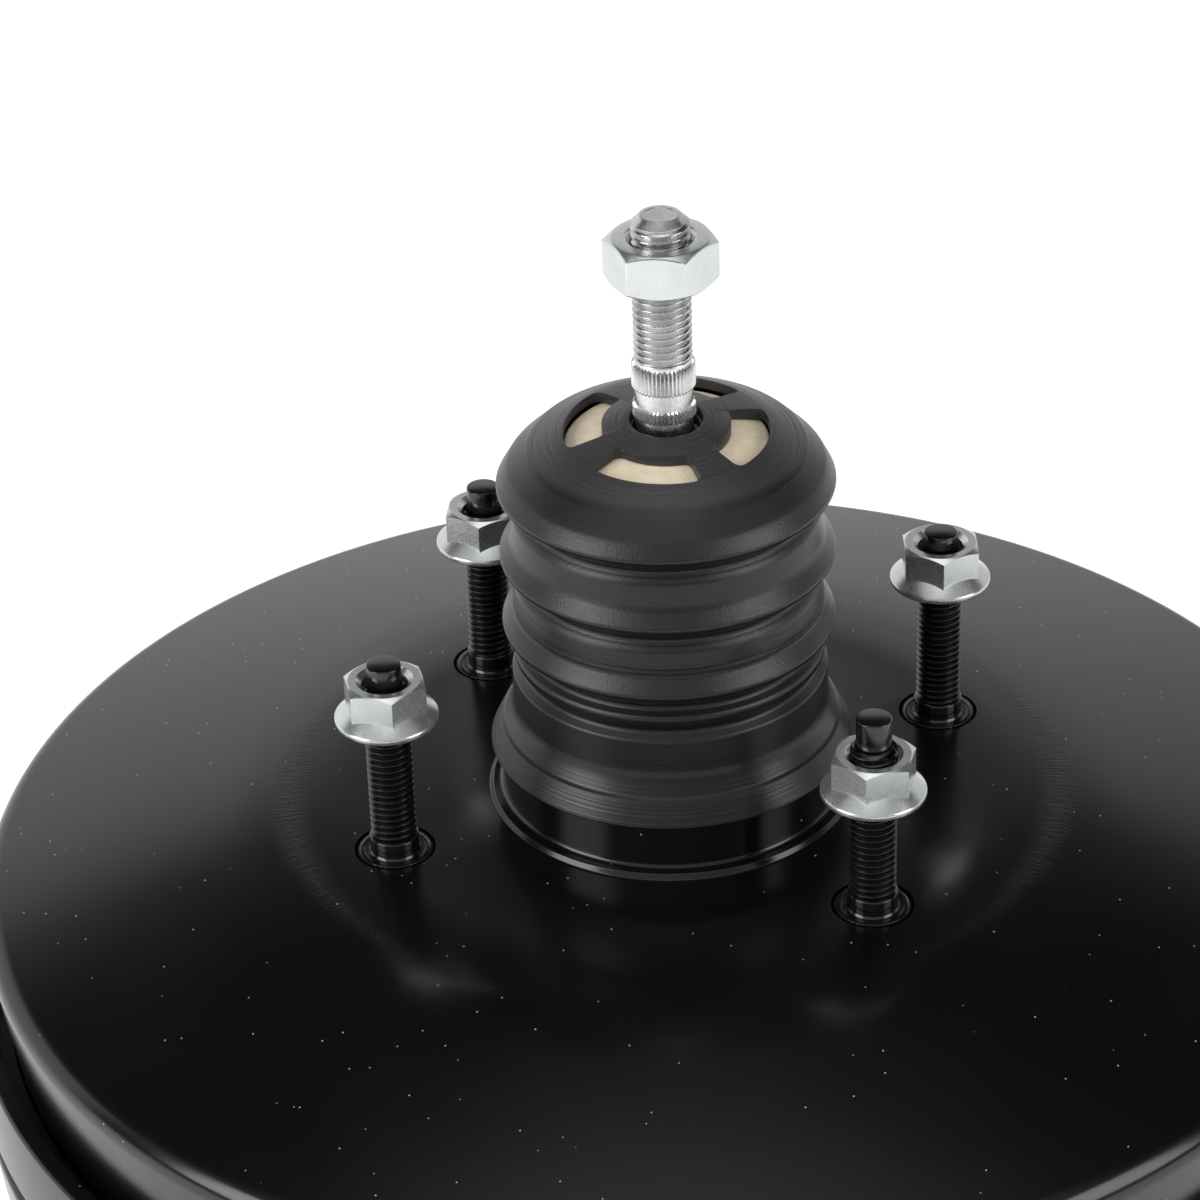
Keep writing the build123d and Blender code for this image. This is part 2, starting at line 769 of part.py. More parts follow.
def diaphragm():
    """Rubber sheet over the plate, with a bead at its hub, a rolling fold and a bead in the crimp."""
    over_plate = shifted(plate_line(), -plate_sheet - seat_gap / 2)
    roll_radius = 3.0
    wall_line = wall_radius - rear_sheet - seat_gap - diaphragm_wall
    top = over_plate[0][1]
    line = [(tail_radius + seat_gap / 2, top), *over_plate[1:4]]
    fold = over_plate[4][0]
    line += [
        (fold, roll_bottom_z, roll_radius),
        (wall_line, roll_bottom_z, roll_radius),
        (wall_line, bead_low_z + bead_height / 2),
    ]
    sheet = turned(*line, *reversed(shifted(line, -diaphragm_wall)))
    bead_inner = wall_line - 0.5
    bead = turned(
        (bead_inner, bead_low_z, 0.8),
        (bead_inner + bead_width, bead_low_z, 0.8),
        (bead_inner + bead_width, bead_low_z + bead_height, 0.8),
        (bead_inner, bead_low_z + bead_height, 0.8),
    )
    return sheet + bead


# ---- springs ----

def return_spring():
    low = front_face_z + front_sheet + front_plate_thickness + seat_gap
    return coil(return_wire, return_coil_radius, low, flange_front_z - seat_gap, return_turns)


def poppet_spring():
    low = plunger_top_z + seat_gap + poppet_thickness + seat_gap
    return coil(poppet_wire, poppet_coil_radius, low, retainer_floor_z - seat_gap, poppet_turns)


def rod_return_spring():
    low = retainer_floor_z + retainer_sheet + seat_gap
    return coil(rod_wire, rod_coil_radius, low, rod_collar_z - rod_seat_thickness - seat_gap, rod_turns)


# ---- output side ----

def reaction_disc():
    top = nose_z + reaction_bore_depth - seat_gap
    outer = reaction_bore_radius - seat_gap / 2
    low = top - reaction_disc_thickness
    return turned((0, low), (outer, low, 0.5), (outer, top, 0.5), (0, top))


def output_head_top():
    return nose_z + reaction_bore_depth - reaction_disc_thickness - 2 * seat_gap


def output_rod():
    top = output_head_top()
    head = reaction_bore_radius - running_gap
    screw_hole = output_screw_radius + thread_gap
    depth = output_rod_z + 14.0
    return turned(
        (0, top),
        (head, top),
        (head, top - output_head_height),
        (output_rod_radius + 2.0, top - output_head_height),
        (output_rod_radius, top - output_head_height - 3.0),
        (output_rod_radius, output_rod_z, 0.5),
        (screw_hole, output_rod_z),
        (screw_hole, depth),
        (0, depth + 1.5),
    )


def output_rod_screw():
    shoulder = output_screw_tip_z + output_screw_head_height
    stem_top = output_rod_z + 14.0 - seat_gap
    prism = hexagon(2 * output_screw_head_radius * 0.87, output_screw_head_height - 2.2, 0, ends=(1,))
    stem = turned(
        (0, output_screw_tip_z),
        (output_screw_radius, output_screw_tip_z, 1.4),
        (output_screw_radius, stem_top),
        (0, stem_top),
    )
    return stem + Pos(0, 0, shoulder - output_screw_head_height + 2.2) * prism


def output_rod_clip():
    """Split steel ring that keeps the output rod's head in the valve body's nose."""
    top = output_head_top() - output_head_height - seat_gap
    outer = reaction_bore_radius - running_gap
    inner = output_rod_radius + 2.0 + seat_gap
    low = top - 1.2
    ring = turned((inner, low), (outer, low), (outer, top), (inner, top))
    gap = Box(2 * outer, 3.0, 10, align=(Align.MIN, Align.CENTER, Align.CENTER))
    return ring - Pos(0, 0, top) * gap


# ---- hub ring and seal in the neck ----

def hub_bearing():
    top = neck_height - rear_sheet
    low = top - bearing_height
    inner = tail_radius + running_gap
    outer = neck_bore - seat_gap / 2
    return turned((inner, low), (outer, low), (outer, top - 1.4, 1.2), (outer - 1.4, top), (inner, top))


def hub_seal():
    foot = seal_foot
    top = neck_height - rear_sheet - bearing_height - seat_gap / 2
    inner = tail_radius + seat_gap
    outer = neck_bore - seat_gap / 2
    return turned(
        (inner, foot + 1.0, 0.4),
        (inner + 1.4, foot + 1.0),
        (inner + 2.6, top - 2.4, 0.8),
        (outer - 2.0, top - 2.4, 0.8),
        (outer - 2.0, foot),
        (outer, foot),
        (outer, top, 0.6),
        (inner + 1.2, top, 0.8),
    )


def seal_retainer():
    top = seal_retainer_foot + seal_retainer_height
    return turned(
        (seal_retainer_hole, seal_retainer_foot),
        (neck_bore + 1.6, seal_retainer_foot, 0.8),
        (neck_bore + 1.6, -rear_sheet - seat_gap),
        (neck_bore - seat_gap / 2, -rear_sheet - seat_gap),
        (neck_bore - seat_gap / 2, top),
        (neck_bore - 1.6, top),
        (neck_bore - 1.6, seal_retainer_foot + 1.2, 0.8),
        (seal_retainer_hole, seal_retainer_foot + 1.2),
    )


def front_seal():
    tube_top = front_face_z + front_bore_length
    tube_outer = front_bore_radius + front_sheet + seat_gap / 2
    low = front_face_z + front_sheet + 3.0
    return turned(
        (front_bore_radius - 0.4, tube_top + seat_gap, 0.3),
        (tube_outer, tube_top + seat_gap),
        (tube_outer, low),
        (tube_outer + 1.8, low, 0.6),
        (tube_outer + 1.8, tube_top + 2.4, 0.8),
        (front_bore_radius - 0.4, tube_top + 1.6, 0.3),
    )


# ---- vacuum check valve ----

def check_valve_grommet():
    outside = ledge_z
    inside = ledge_z + front_sheet
    bore = grommet_bore_radius + seat_gap / 2
    ring = turned(
        (bore, outside - 2.6),
        (grommet_flange_radius, outside - 2.6, 0.8),
        (grommet_flange_radius, outside - seat_gap / 2, 0.6),
        (valve_hole_radius - seat_gap / 2, outside - seat_gap / 2),
        (valve_hole_radius - seat_gap / 2, inside + seat_gap / 2),
        (grommet_lip_radius, inside + seat_gap / 2, 0.6),
        (grommet_lip_radius - 1.2, inside + grommet_lip_height, 0.6),
        (bore, inside + grommet_lip_height),
    )
    return Pos(0, valve_reach, 0) * ring


def check_valve():
    body_top = ledge_z - 2.6 - seat_gap / 2
    body_foot = body_top - check_body_height
    cap_foot = body_foot - check_cap_height
    stem_top = ledge_z + front_sheet + grommet_lip_height + 1.6
    air_way = check_nozzle_bore + 0.8
    body = turned(
        (0, cap_foot),
        (check_body_radius - 4.5, cap_foot, 0.6),
        (check_body_radius - 2.0, body_foot),
        (check_body_radius, body_foot, 0.8),
        (check_body_radius, body_top, 0.6),
        (grommet_bore_radius, body_top),
        (grommet_bore_radius, stem_top, 0.6),
        (air_way, stem_top),
        (air_way, body_foot + 1.5),
        (0, body_foot + 1.5),
    )
    nozzle_z = cap_foot - check_nozzle_radius + check_nozzle_bite
    elbow = along_y(check_elbow_radius, 0, check_body_radius) + Sphere(check_elbow_radius)
    nozzle = along_y(check_nozzle_radius, check_body_radius, check_nozzle_length)
    rise = Cylinder(check_nozzle_bore, 12, align=(Align.CENTER, Align.CENTER, Align.MIN))
    bore = along_y(check_nozzle_bore, 0, check_nozzle_length + 1) + rise
    piece = body + Pos(0, 0, nozzle_z) * (elbow + nozzle) - Pos(0, 0, nozzle_z) * bore
    return Pos(0, valve_reach, 0) * piece


def along_y(radius, start, end):
    """Cylinder along +Y between two places."""
    start_plane = Plane(origin=(0, start, 0), z_dir=(0, 1, 0))
    return start_plane * Cylinder(radius, end - start, align=(Align.CENTER, Align.CENTER, Align.MIN))


# ---- every sub-part, one STEP file each ----

makers = [
    rear_shell,
    stud_plate,
    firewall_studs,
    firewall_nuts,
    front_shell,
    front_plate,
    master_cylinder_studs,
    front_seal,
    check_valve_grommet,
    check_valve,
    hub_bearing,
    hub_seal,
    seal_retainer,
    return_spring,
    valve_body,
    diaphragm_plate,
    diaphragm,
    stop_key,
    poppet_valve,
    poppet_spring,
    valve_retainer,
    rod_return_spring,
    filter_support,
    inner_filter,
    foam_filter,
    dust_boot,
    reaction_disc,
    output_rod,
    output_rod_clip,
    output_rod_screw,
    plunger,
    push_rod,
    rod_spring_seat,
    push_rod_nut,
]

os.makedirs("parts", exist_ok=True)
for maker in makers:
    name = maker.__name__
    piece = maker()
    piece.label = name
    export_step(piece, f"parts/{name}.step")
    print(name, len(piece.solids()), round(piece.volume))
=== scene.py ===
from math import atan2, ceil, cos, pi, radians, sin, sqrt, tan
import bmesh
import bpy
from mathutils import Matrix, Vector


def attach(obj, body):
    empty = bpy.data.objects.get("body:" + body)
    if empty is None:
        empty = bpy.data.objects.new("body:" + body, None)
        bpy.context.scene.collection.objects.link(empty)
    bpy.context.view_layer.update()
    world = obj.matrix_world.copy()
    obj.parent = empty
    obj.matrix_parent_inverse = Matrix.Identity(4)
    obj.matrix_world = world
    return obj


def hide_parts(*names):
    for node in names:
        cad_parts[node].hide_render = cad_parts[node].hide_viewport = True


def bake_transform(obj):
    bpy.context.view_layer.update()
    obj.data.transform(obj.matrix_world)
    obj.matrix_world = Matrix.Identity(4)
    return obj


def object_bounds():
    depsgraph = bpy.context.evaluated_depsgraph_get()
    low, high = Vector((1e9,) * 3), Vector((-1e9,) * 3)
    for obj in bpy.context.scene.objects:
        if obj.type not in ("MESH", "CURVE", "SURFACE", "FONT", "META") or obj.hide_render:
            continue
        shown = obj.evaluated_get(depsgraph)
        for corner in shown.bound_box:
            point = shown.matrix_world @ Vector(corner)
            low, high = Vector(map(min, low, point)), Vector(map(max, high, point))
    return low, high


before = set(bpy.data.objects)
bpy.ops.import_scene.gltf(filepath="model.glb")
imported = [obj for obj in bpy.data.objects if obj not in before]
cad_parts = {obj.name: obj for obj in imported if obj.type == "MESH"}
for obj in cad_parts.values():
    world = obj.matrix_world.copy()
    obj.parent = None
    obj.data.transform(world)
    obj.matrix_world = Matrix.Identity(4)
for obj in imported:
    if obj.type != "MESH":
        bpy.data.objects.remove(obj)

cadLow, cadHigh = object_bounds()
mm = 0.001
mergeReach = 1e-6           # metres within which doubled vertices become one
studX = 84.5                # from stud to stud along X
studY = 63.0                # and along Y
studSigns = [(-1, -1), (1, -1), (1, 1), (-1, 1)]
studPlaces = [(sx * studX / 2, sy * studY / 2) for sx, sy in studSigns]


# camera, floor and light

cameraView = {
    "azimuth": 15.08,       # degrees round the object
    "elevation": 30.68,
    "roll": -1.89,
    "distance": 723.9,      # to the middle of the stud pattern
    "lens": 121.8,
    "sensor": 36.0,
    "framePixels": 1200,
    "originPixel": (672.7, 776.6),  # where the middle of the stud pattern lies in the frame
    "clipStart": 0.01,
    "clipEnd": 20,
}


def addCamera(view):
    azimuth, elevation, roll = (radians(view[key]) for key in ("azimuth", "elevation", "roll"))
    right = Vector((cos(azimuth), sin(azimuth), 0))
    away = Vector((-sin(azimuth), cos(azimuth), 0))
    forward = away * cos(elevation) - Vector((0, 0, sin(elevation)))
    upward = away * sin(elevation) + Vector((0, 0, cos(elevation)))
    across = right * cos(roll) + upward * sin(roll)
    along = upward * cos(roll) - right * sin(roll)
    middle = view["framePixels"] / 2
    focal = view["lens"] / view["sensor"] * view["framePixels"]
    sideways = (view["originPixel"][0] - middle) / focal * view["distance"]
    upwards = (middle - view["originPixel"][1]) / focal * view["distance"]
    place = (-across * sideways - along * upwards - forward * view["distance"]) * mm
    bpy.ops.object.camera_add(location=place)
    camera = bpy.context.object
    turn = Matrix((across, along, -forward)).transposed()
    camera.rotation_mode = "QUATERNION"
    camera.rotation_quaternion = turn.to_quaternion()
    camera.data.lens = view["lens"]
    camera.data.sensor_width = view["sensor"]
    camera.data.clip_start = view["clipStart"]
    camera.data.clip_end = view["clipEnd"]
    bpy.context.scene.camera = camera


lighting = {
    "floorColour": (0.9, 0.9, 0.9),
    "floorGlow": 0.5,
    "floorRadius": 3,
    "floorGap": 0.001,          # below the object
    # sine of a direction's height and its brightness, behind the object, beside it and on the camera's side
    "backSky": [(0.0, 1.1), (0.475, 1.1), (0.50, 0.78), (0.525, 0.2), (0.548, 0.02),
                (0.85, 0.02), (0.88, 0.22), (0.905, 0.6), (0.96, 1.5), (1.0, 2.2)],
    "sideSky": [(0.0, 0.04), (0.5, 0.06), (0.72, 0.22), (0.93, 0.6), (0.97, 1.5), (1.0, 2.2)],
    "frontSky": [(0.0, 0.06), (0.15, 0.12), (0.4, 0.8), (0.70, 0.85), (0.93, 0.6), (0.97, 1.5), (1.0, 2.2)],
    "sideFrom": (-0.22, -0.08),     # cosine from the camera's side, where the back turns into the side
    "frontFrom": (0.15, 0.75),      # and where the side turns into the front
    "dimTurn": 90.0,            # the side where it dims, counted from the camera's
    "dimFrom": (-0.4, 0.9),     # cosine from that side, and the share left of the brightness
    "dimTo": (0.4, 0.64),
    "boxes": [
        # name, turn from the camera, height, distance, size, power
        ("leftBox", -62, 0.45, 0.9, (0.5, 0.7), 6.0),
        ("rightBox", 62, 0.45, 0.9, (0.5, 0.7), 4.2),
    ],
    "aim": (0, 0, 0.02),        # the point that the boxes face
    "exposure": 0.0,
}


def addFloor(settings):
    bpy.ops.object.select_all(action="DESELECT")
    bpy.ops.mesh.primitive_circle_add(vertices=96, radius=settings["floorRadius"], fill_type="NGON",
                                      location=(0, 0, cadLow.z - settings["floorGap"]))
    floor = bpy.context.object
    floor.name = "floor"
    floor.data.materials.append(floorMaterial(settings["floorColour"], settings["floorGlow"]))


def facingWay(turn):
    # a level direction, counted in degrees from the camera's side
    angle = radians(cameraView["azimuth"] + turn)
    return Vector((sin(angle), -cos(angle), 0))


def addBox(name, turn, height, distance, size, power, aim):
    place = facingWay(turn) * distance + Vector((0, 0, height))
    bpy.ops.object.light_add(type="AREA", location=place)
    light = bpy.context.object
    light.name = name
    light.data.shape = "RECTANGLE"
    light.data.size, light.data.size_y = size
    light.data.energy = power
    light.rotation_mode = "QUATERNION"
    light.rotation_quaternion = (Vector(aim) - place).to_track_quat("-Z", "Y")


def addLights(settings):
    for box in settings["boxes"]:
        addBox(*box, settings["aim"])


class ShaderTree:
    # short ways to add shader nodes, for a material or for the world
    def __init__(self, tree, space):
        self.nodes = tree.nodes
        self.links = tree.links
        self.coordinates = self.nodes.new("ShaderNodeTexCoord").outputs[space]

    def link(self, output, socket):
        self.links.new(output, socket)

    def feed(self, value, socket):
        # a socket takes another node's output, a number or a colour
        if isinstance(value, (int, float)):
            socket.default_value = value
        elif isinstance(value, tuple):
            socket.default_value = (*value, 1)
        else:
            self.link(value, socket)

    def axis(self, index):
        node = self.nodes.new("ShaderNodeSeparateXYZ")
        self.link(self.coordinates, node.inputs[0])
        return node.outputs[index]

    def cosineFrom(self, way):
        node = self.nodes.new("ShaderNodeVectorMath")
        node.operation = "DOT_PRODUCT"
        node.inputs[1].default_value = way
        self.link(self.coordinates, node.inputs[0])
        return node.outputs["Value"]

    def spread(self, value, fromLow, fromHigh, toLow, toHigh):
        node = self.nodes.new("ShaderNodeMapRange")
        for socket, number in zip(node.inputs[1:5], (fromLow, fromHigh, toLow, toHigh)):
            socket.default_value = number
        self.link(value, node.inputs[0])
        return node.outputs[0]

    def greys(self, value, stops):
        # stops are (position, brightness)
        node = self.nodes.new("ShaderNodeValToRGB")
        elements = node.color_ramp.elements
        while len(elements) < len(stops):
            elements.new(0.5)
        for element, (position, brightness) in zip(elements, stops):
            element.position = position
            element.color = (brightness, brightness, brightness, 1)
        self.link(value, node.inputs[0])
        return node.outputs[0]

    def mix(self, factor, first, second):
        node = self.nodes.new("ShaderNodeMix")
        node.data_type = "RGBA"
        self.link(factor, node.inputs["Factor"])
        self.feed(first, node.inputs[6])
        self.feed(second, node.inputs[7])
        return node.outputs[2]


def addSky(settings):
    world = bpy.data.worlds.new("studio")
    bpy.context.scene.world = world
    world.use_nodes = True
    sky = ShaderTree(world.node_tree, "Generated")
    height = sky.axis(2)
    near = sky.cosineFrom(facingWay(0))
    light = sky.greys(height, settings["backSky"])
    for heights, turningAt in (("sideSky", "sideFrom"), ("frontSky", "frontFrom")):
        share = sky.spread(near, *settings[turningAt], 0, 1)
        light = sky.mix(share, light, sky.greys(height, settings[heights]))
    dimLow, fullShare = settings["dimFrom"]
    dimHigh, dimShare = settings["dimTo"]
    dimmed = sky.spread(sky.cosineFrom(facingWay(settings["dimTurn"])), dimLow, dimHigh, fullShare, dimShare)
    background = sky.nodes["Background"]
    sky.link(light, background.inputs["Color"])
    sky.link(dimmed, background.inputs["Strength"])


# finishes

class Finish(ShaderTree):
    # a material with one Principled shader, read from Object coordinates
    def __init__(self, name, **values):
        self.material = bpy.data.materials.new(name)
        self.material.use_nodes = True
        super().__init__(self.material.node_tree, "Object")
        self.shader = self.nodes["Principled BSDF"]
        for key, value in values.items():
            self.shader.inputs[key].default_value = value
        self.normal = None

    def stretched(self, scale):
        node = self.nodes.new("ShaderNodeMapping")
        node.inputs["Scale"].default_value = scale
        self.link(self.coordinates, node.inputs["Vector"])
        return node.outputs[0]

    def noise(self, scale, detail=3.0, roughness=0.5, place=None):
        node = self.nodes.new("ShaderNodeTexNoise")
        node.inputs["Scale"].default_value = scale
        node.inputs["Detail"].default_value = detail
        node.inputs["Roughness"].default_value = roughness
        self.link(place or self.coordinates, node.inputs["Vector"])
        return node.outputs[0]

    def cells(self, scale):
        node = self.nodes.new("ShaderNodeTexVoronoi")
        node.inputs["Scale"].default_value = scale
        self.link(self.coordinates, node.inputs["Vector"])
        return node.outputs["Distance"]

    def calculate(self, operation, *values):
        node = self.nodes.new("ShaderNodeMath")
        node.operation = operation
        for socket, value in zip(node.inputs, values):
            self.feed(value, socket)
        return node.outputs[0]

    def mottle(self, pattern, low, high, first, second):
        # the first colour turns into the second where the pattern rises from low to high
        return self.mix(self.spread(pattern, low, high, 0, 1), first, second)

    def colour(self, value):
        self.link(value, self.shader.inputs["Base Color"])

    def roughness(self, pattern, smoothest, dullest, low=0.3, high=0.7):
        self.link(self.spread(pattern, low, high, smoothest, dullest), self.shader.inputs["Roughness"])

    def bump(self, height, strength, distance):
        node = self.nodes.new("ShaderNodeBump")
        node.inputs["Strength"].default_value = strength
        node.inputs["Distance"].default_value = distance
        self.link(height, node.inputs["Height"])
        if self.normal:
            self.link(self.normal, node.inputs["Normal"])
        self.normal = node.outputs[0]
        self.link(self.normal, self.shader.inputs["Normal"])

    def axisRadius(self):
        # distance from the main axis, in metres
        squares = [self.calculate("MULTIPLY", self.axis(index), self.axis(index)) for index in (0, 1)]
        return self.calculate("SQRT", self.calculate("ADD", *squares))

    def turnAngle(self):
        # angle round the main axis, in radians
        return self.calculate("ARCTAN2", self.axis(1), self.axis(0))

    def pair(self, first, second):
        # a place for a texture, made of two values
        node = self.nodes.new("ShaderNodeCombineXYZ")
        self.link(first, node.inputs[0])
        self.link(second, node.inputs[1])
        return node.outputs[0]


def shellPaint():
    look = {"colour": (0.003, 0.003, 0.0034), "dust": (0.5, 0.5, 0.5), "dustCells": 300, "dustSize": 0.042,
            "markRadius": 0.0685, "markWidth": 0.0045, "marksAround": 42, "marksOutward": 60}
    paint = Finish("shellPaint", **{"Specular IOR Level": 0.5, "IOR": 1.5})
    specks = paint.calculate("LESS_THAN", paint.cells(look["dustCells"]), look["dustSize"])
    paint.colour(paint.mix(specks, look["colour"], look["dust"]))
    paint.roughness(paint.noise(38, 4), 0.18, 0.21)
    radius = paint.axisRadius()
    around = paint.calculate("MULTIPLY", paint.turnAngle(), look["marksAround"])
    outward = paint.calculate("MULTIPLY", radius, look["marksOutward"])
    scuffs = paint.noise(3.0, 4, 0.7, paint.pair(around, outward))
    away = paint.calculate("ABSOLUTE", paint.calculate("SUBTRACT", radius, look["markRadius"]))
    band = paint.spread(away, 0, look["markWidth"], 1, 0)
    paint.bump(paint.calculate("MULTIPLY", scuffs, band), 0.22, 0.0003)
    paint.bump(paint.noise(2300, 3), 0.1, 0.00008)
    return paint.material


def studBlack():
    look = {"colour": (0.003, 0.003, 0.0033), "worn": (0.008, 0.008, 0.0084)}
    coat = Finish("studBlack", **{"Coat Weight": 0.25, "Coat Roughness": 0.15})
    coat.colour(coat.mottle(coat.noise(520, 4), 0.52, 0.75, look["colour"], look["worn"]))
    coat.roughness(coat.noise(800, 3), 0.12, 0.22)
    coat.bump(coat.noise(2200, 2), 0.12, 0.0001)
    return coat.material


def zincCoat(name, colour, shade, smoothest, dullest, metal):
    zinc = Finish(name, Metallic=metal)
    zinc.colour(zinc.mottle(zinc.noise(160, 4), 0.35, 0.7, colour, shade))
    zinc.roughness(zinc.noise(1500, 4, 0.7), smoothest, dullest)
    zinc.bump(zinc.noise(4200, 3, 0.6), 0.09, 0.00002)
    return zinc.material


def zincPlate():
    return zincCoat("zincPlate", (0.66, 0.68, 0.69), (0.59, 0.61, 0.62), 0.2, 0.29, 0.88)


def rodZinc():
    return zincCoat("rodZinc", (0.68, 0.685, 0.675), (0.44, 0.445, 0.435), 0.18, 0.32, 1.0)


def bootRubber():
    # cap is a paler colour for the cap above the top fold: painted light on its upward face
    look = {"colour": (0.0055, 0.0055, 0.0058), "pale": (0.0095, 0.0095, 0.0098), "cap": (0.03, 0.03, 0.031),
            "lines": 1500, "grain": 2200, "smooth": 0.2,
            # heights in metres, each with where a change starts and ends
            "capFrom": (0.0668, 0.0676), "foldsFrom": (0.026, 0.028), "lipTo": (0.0143, 0.0149)}
    rubber = Finish("bootRubber", **{"Specular IOR Level": 0.5})
    height = rubber.axis(2)
    rings = rubber.pair(rubber.axisRadius(), height)
    turnedLines = rubber.noise(look["lines"], 2, 0.6, rings)
    wideLines = rubber.noise(look["lines"] / 6, 2, 0.5, rings)
    grain = rubber.noise(look["grain"], 4, 0.65)
    cloudy = rubber.mottle(rubber.noise(90, 4), 0.35, 0.7, look["colour"], look["pale"])
    # painted light: above the top fold the rubber takes the paler cap colour, for the light falling on the
    # cap; below it, a random cloudy tone
    rubber.colour(rubber.mottle(height, *look["capFrom"], cloudy, look["cap"]))
    rubber.roughness(rubber.calculate("ADD", turnedLines, grain), 0.28, 0.4, 0.6, 1.4)
    folds = rubber.spread(height, *look["foldsFrom"], look["smooth"], 1)
    cap = rubber.spread(height, *look["capFrom"], look["smooth"], 1)
    lip = rubber.spread(height, *look["lipTo"], 1, 0)
    linesShare = rubber.calculate("MAXIMUM", cap, lip)
    rubber.bump(rubber.calculate("MULTIPLY", turnedLines, linesShare), 0.8, 0.0002)
    rubber.bump(wideLines, 0.15, 0.0002)
    rubber.bump(rubber.calculate("MULTIPLY", grain, folds), 0.5, 0.00014)
    return rubber.material


def sealRubber():
    look = {"colour": (0.016, 0.016, 0.017), "bloom": (0.045, 0.045, 0.047)}
    rubber = Finish("sealRubber", **{"Specular IOR Level": 0.4})
    rubber.colour(rubber.mottle(rubber.noise(110, 5), 0.45, 0.75, look["colour"], look["bloom"]))
    rubber.roughness(rubber.noise(700, 3), 0.5, 0.7)
    rubber.bump(rubber.noise(1800, 3), 0.3, 0.0001)
    return rubber.material


def creamFoam():
    look = {"light": (0.88, 0.78, 0.6), "dark": (0.8, 0.68, 0.49), "poreShade": (0.6, 0.5, 0.35), "poreSize": 2200}
    foam = Finish("creamFoam", Roughness=0.95, **{"Specular IOR Level": 0.2})
    pores = foam.cells(look["poreSize"])
    base = foam.mottle(foam.noise(420, 4), 0.35, 0.68, look["light"], look["dark"])
    # painted shade: near each cell's middle the cream darkens towards the poreShade colour, for the shade
    # inside the pores
    foam.colour(foam.mix(foam.spread(pores, 0.0, 0.25, 0.8, 0), base, look["poreShade"]))
    foam.bump(pores, 0.35, 0.00015)
    return foam.material


def whiteFelt():
    look = {"light": (0.86, 0.85, 0.81), "dark": (0.66, 0.65, 0.6)}
    felt = Finish("whiteFelt", **{"Specular IOR Level": 0.2})
    fibres = felt.noise(900, 5, 0.7, felt.stretched((1, 1, 4)))
    felt.colour(felt.mottle(fibres, 0.35, 0.65, look["light"], look["dark"]))
    felt.roughness(fibres, 0.85, 1.0)
    felt.bump(fibres, 0.6, 0.0004)
    return felt.material


def mouldedPlastic(name, colour, shade, roughness):
    plastic = Finish(name, **{"Specular IOR Level": 0.45})
    plastic.colour(plastic.mottle(plastic.noise(130, 4), 0.4, 0.7, colour, shade))
    plastic.roughness(plastic.noise(900, 3), roughness - 0.06, roughness + 0.08)
    plastic.bump(plastic.noise(1600, 3), 0.15, 0.0001)
    plastic.bump(plastic.noise(60, 2), 0.1, 0.0006)
    return plastic.material


def turnedSteel(name, colour, shade, roughness, lines):
    # steel with fine circular lines round the main axis
    steel = Finish(name, Metallic=1.0)
    rings = steel.noise(lines, 3, 0.6, steel.pair(steel.axisRadius(), steel.axis(2)))
    stain = steel.noise(75, 5, 0.6)
    steel.colour(steel.mottle(stain, 0.4, 0.75, colour, shade))
    steel.roughness(steel.calculate("ADD", rings, stain), roughness - 0.08, roughness + 0.12, 0.6, 1.4)
    steel.bump(rings, 0.12, 0.0001)
    steel.bump(steel.noise(1500, 3), 0.08, 0.0001)
    return steel.material


def floorMaterial(colour, glow):
    floor = Finish("floorPaint", Roughness=0.75, **{"Specular IOR Level": 0.2})
    pale = tuple(value * 0.985 for value in colour)
    floor.colour(floor.mix(floor.noise(3, 2), colour, pale))
    floor.shader.inputs["Emission Color"].default_value = (1, 1, 1, 1)
    floor.shader.inputs["Emission Strength"].default_value = glow
    return floor.material


addCamera(cameraView)
addSky(lighting)
addLights(lighting)
addFloor(lighting)
bpy.context.scene.view_settings.view_transform = "Standard"
bpy.context.scene.view_settings.exposure = lighting["exposure"]
print("stage ready")

finishes = {
    "shell_paint": shellPaint(),
    "black_studs": studBlack(),
    "zinc_plate": zincPlate(),
    "rod_zinc": rodZinc(),
    "boot_rubber": bootRubber(),
    "seal_rubber": sealRubber(),
    "cream_foam": creamFoam(),
    "white_felt": whiteFelt(),
    "black_plastic": mouldedPlastic("blackPlastic", (0.022, 0.022, 0.023), (0.035, 0.035, 0.037), 0.42),
    "white_plastic": mouldedPlastic("whitePlastic", (0.82, 0.81, 0.77), (0.74, 0.73, 0.68), 0.38),
    "body_plastic": mouldedPlastic("bodyPlastic", (0.085, 0.05, 0.032), (0.055, 0.033, 0.022), 0.45),
    "plate_steel": turnedSteel("plateSteel", (0.44, 0.44, 0.45), (0.3, 0.29, 0.28), 0.4, 900),
    "bright_steel": turnedSteel("brightSteel", (0.62, 0.62, 0.64), (0.5, 0.5, 0.51), 0.28, 2400),
    "spring_steel": turnedSteel("springSteel", (0.3, 0.3, 0.32), (0.16, 0.155, 0.15), 0.36, 1600),
}
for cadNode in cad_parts.values():
    for materialSlot in cadNode.material_slots:
        materialSlot.material = finishes[materialSlot.material.name.split(".")[0]]
print("materials ready")


# modelling helpers; lengths are millimetres, and a corner's third number is its bend

def bare():
    if bpy.context.object and bpy.context.object.mode == "EDIT":
        bpy.ops.object.mode_set(mode="OBJECT")
    bpy.ops.object.select_all(action="DESELECT")


def takeUp(piece):
    bare()
    piece.select_set(True)
    bpy.context.view_layer.objects.active = piece


def called(piece, name):
    piece.name = name
    piece.data.name = name
    return piece


def settle(piece):
    # puts the object's place into its mesh
    takeUp(piece)
    bpy.ops.object.transform_apply(location=True, rotation=True, scale=True)
    return piece


def smooth(piece, angle=32):
    takeUp(piece)
    bpy.ops.object.shade_smooth_by_angle(angle=radians(angle))


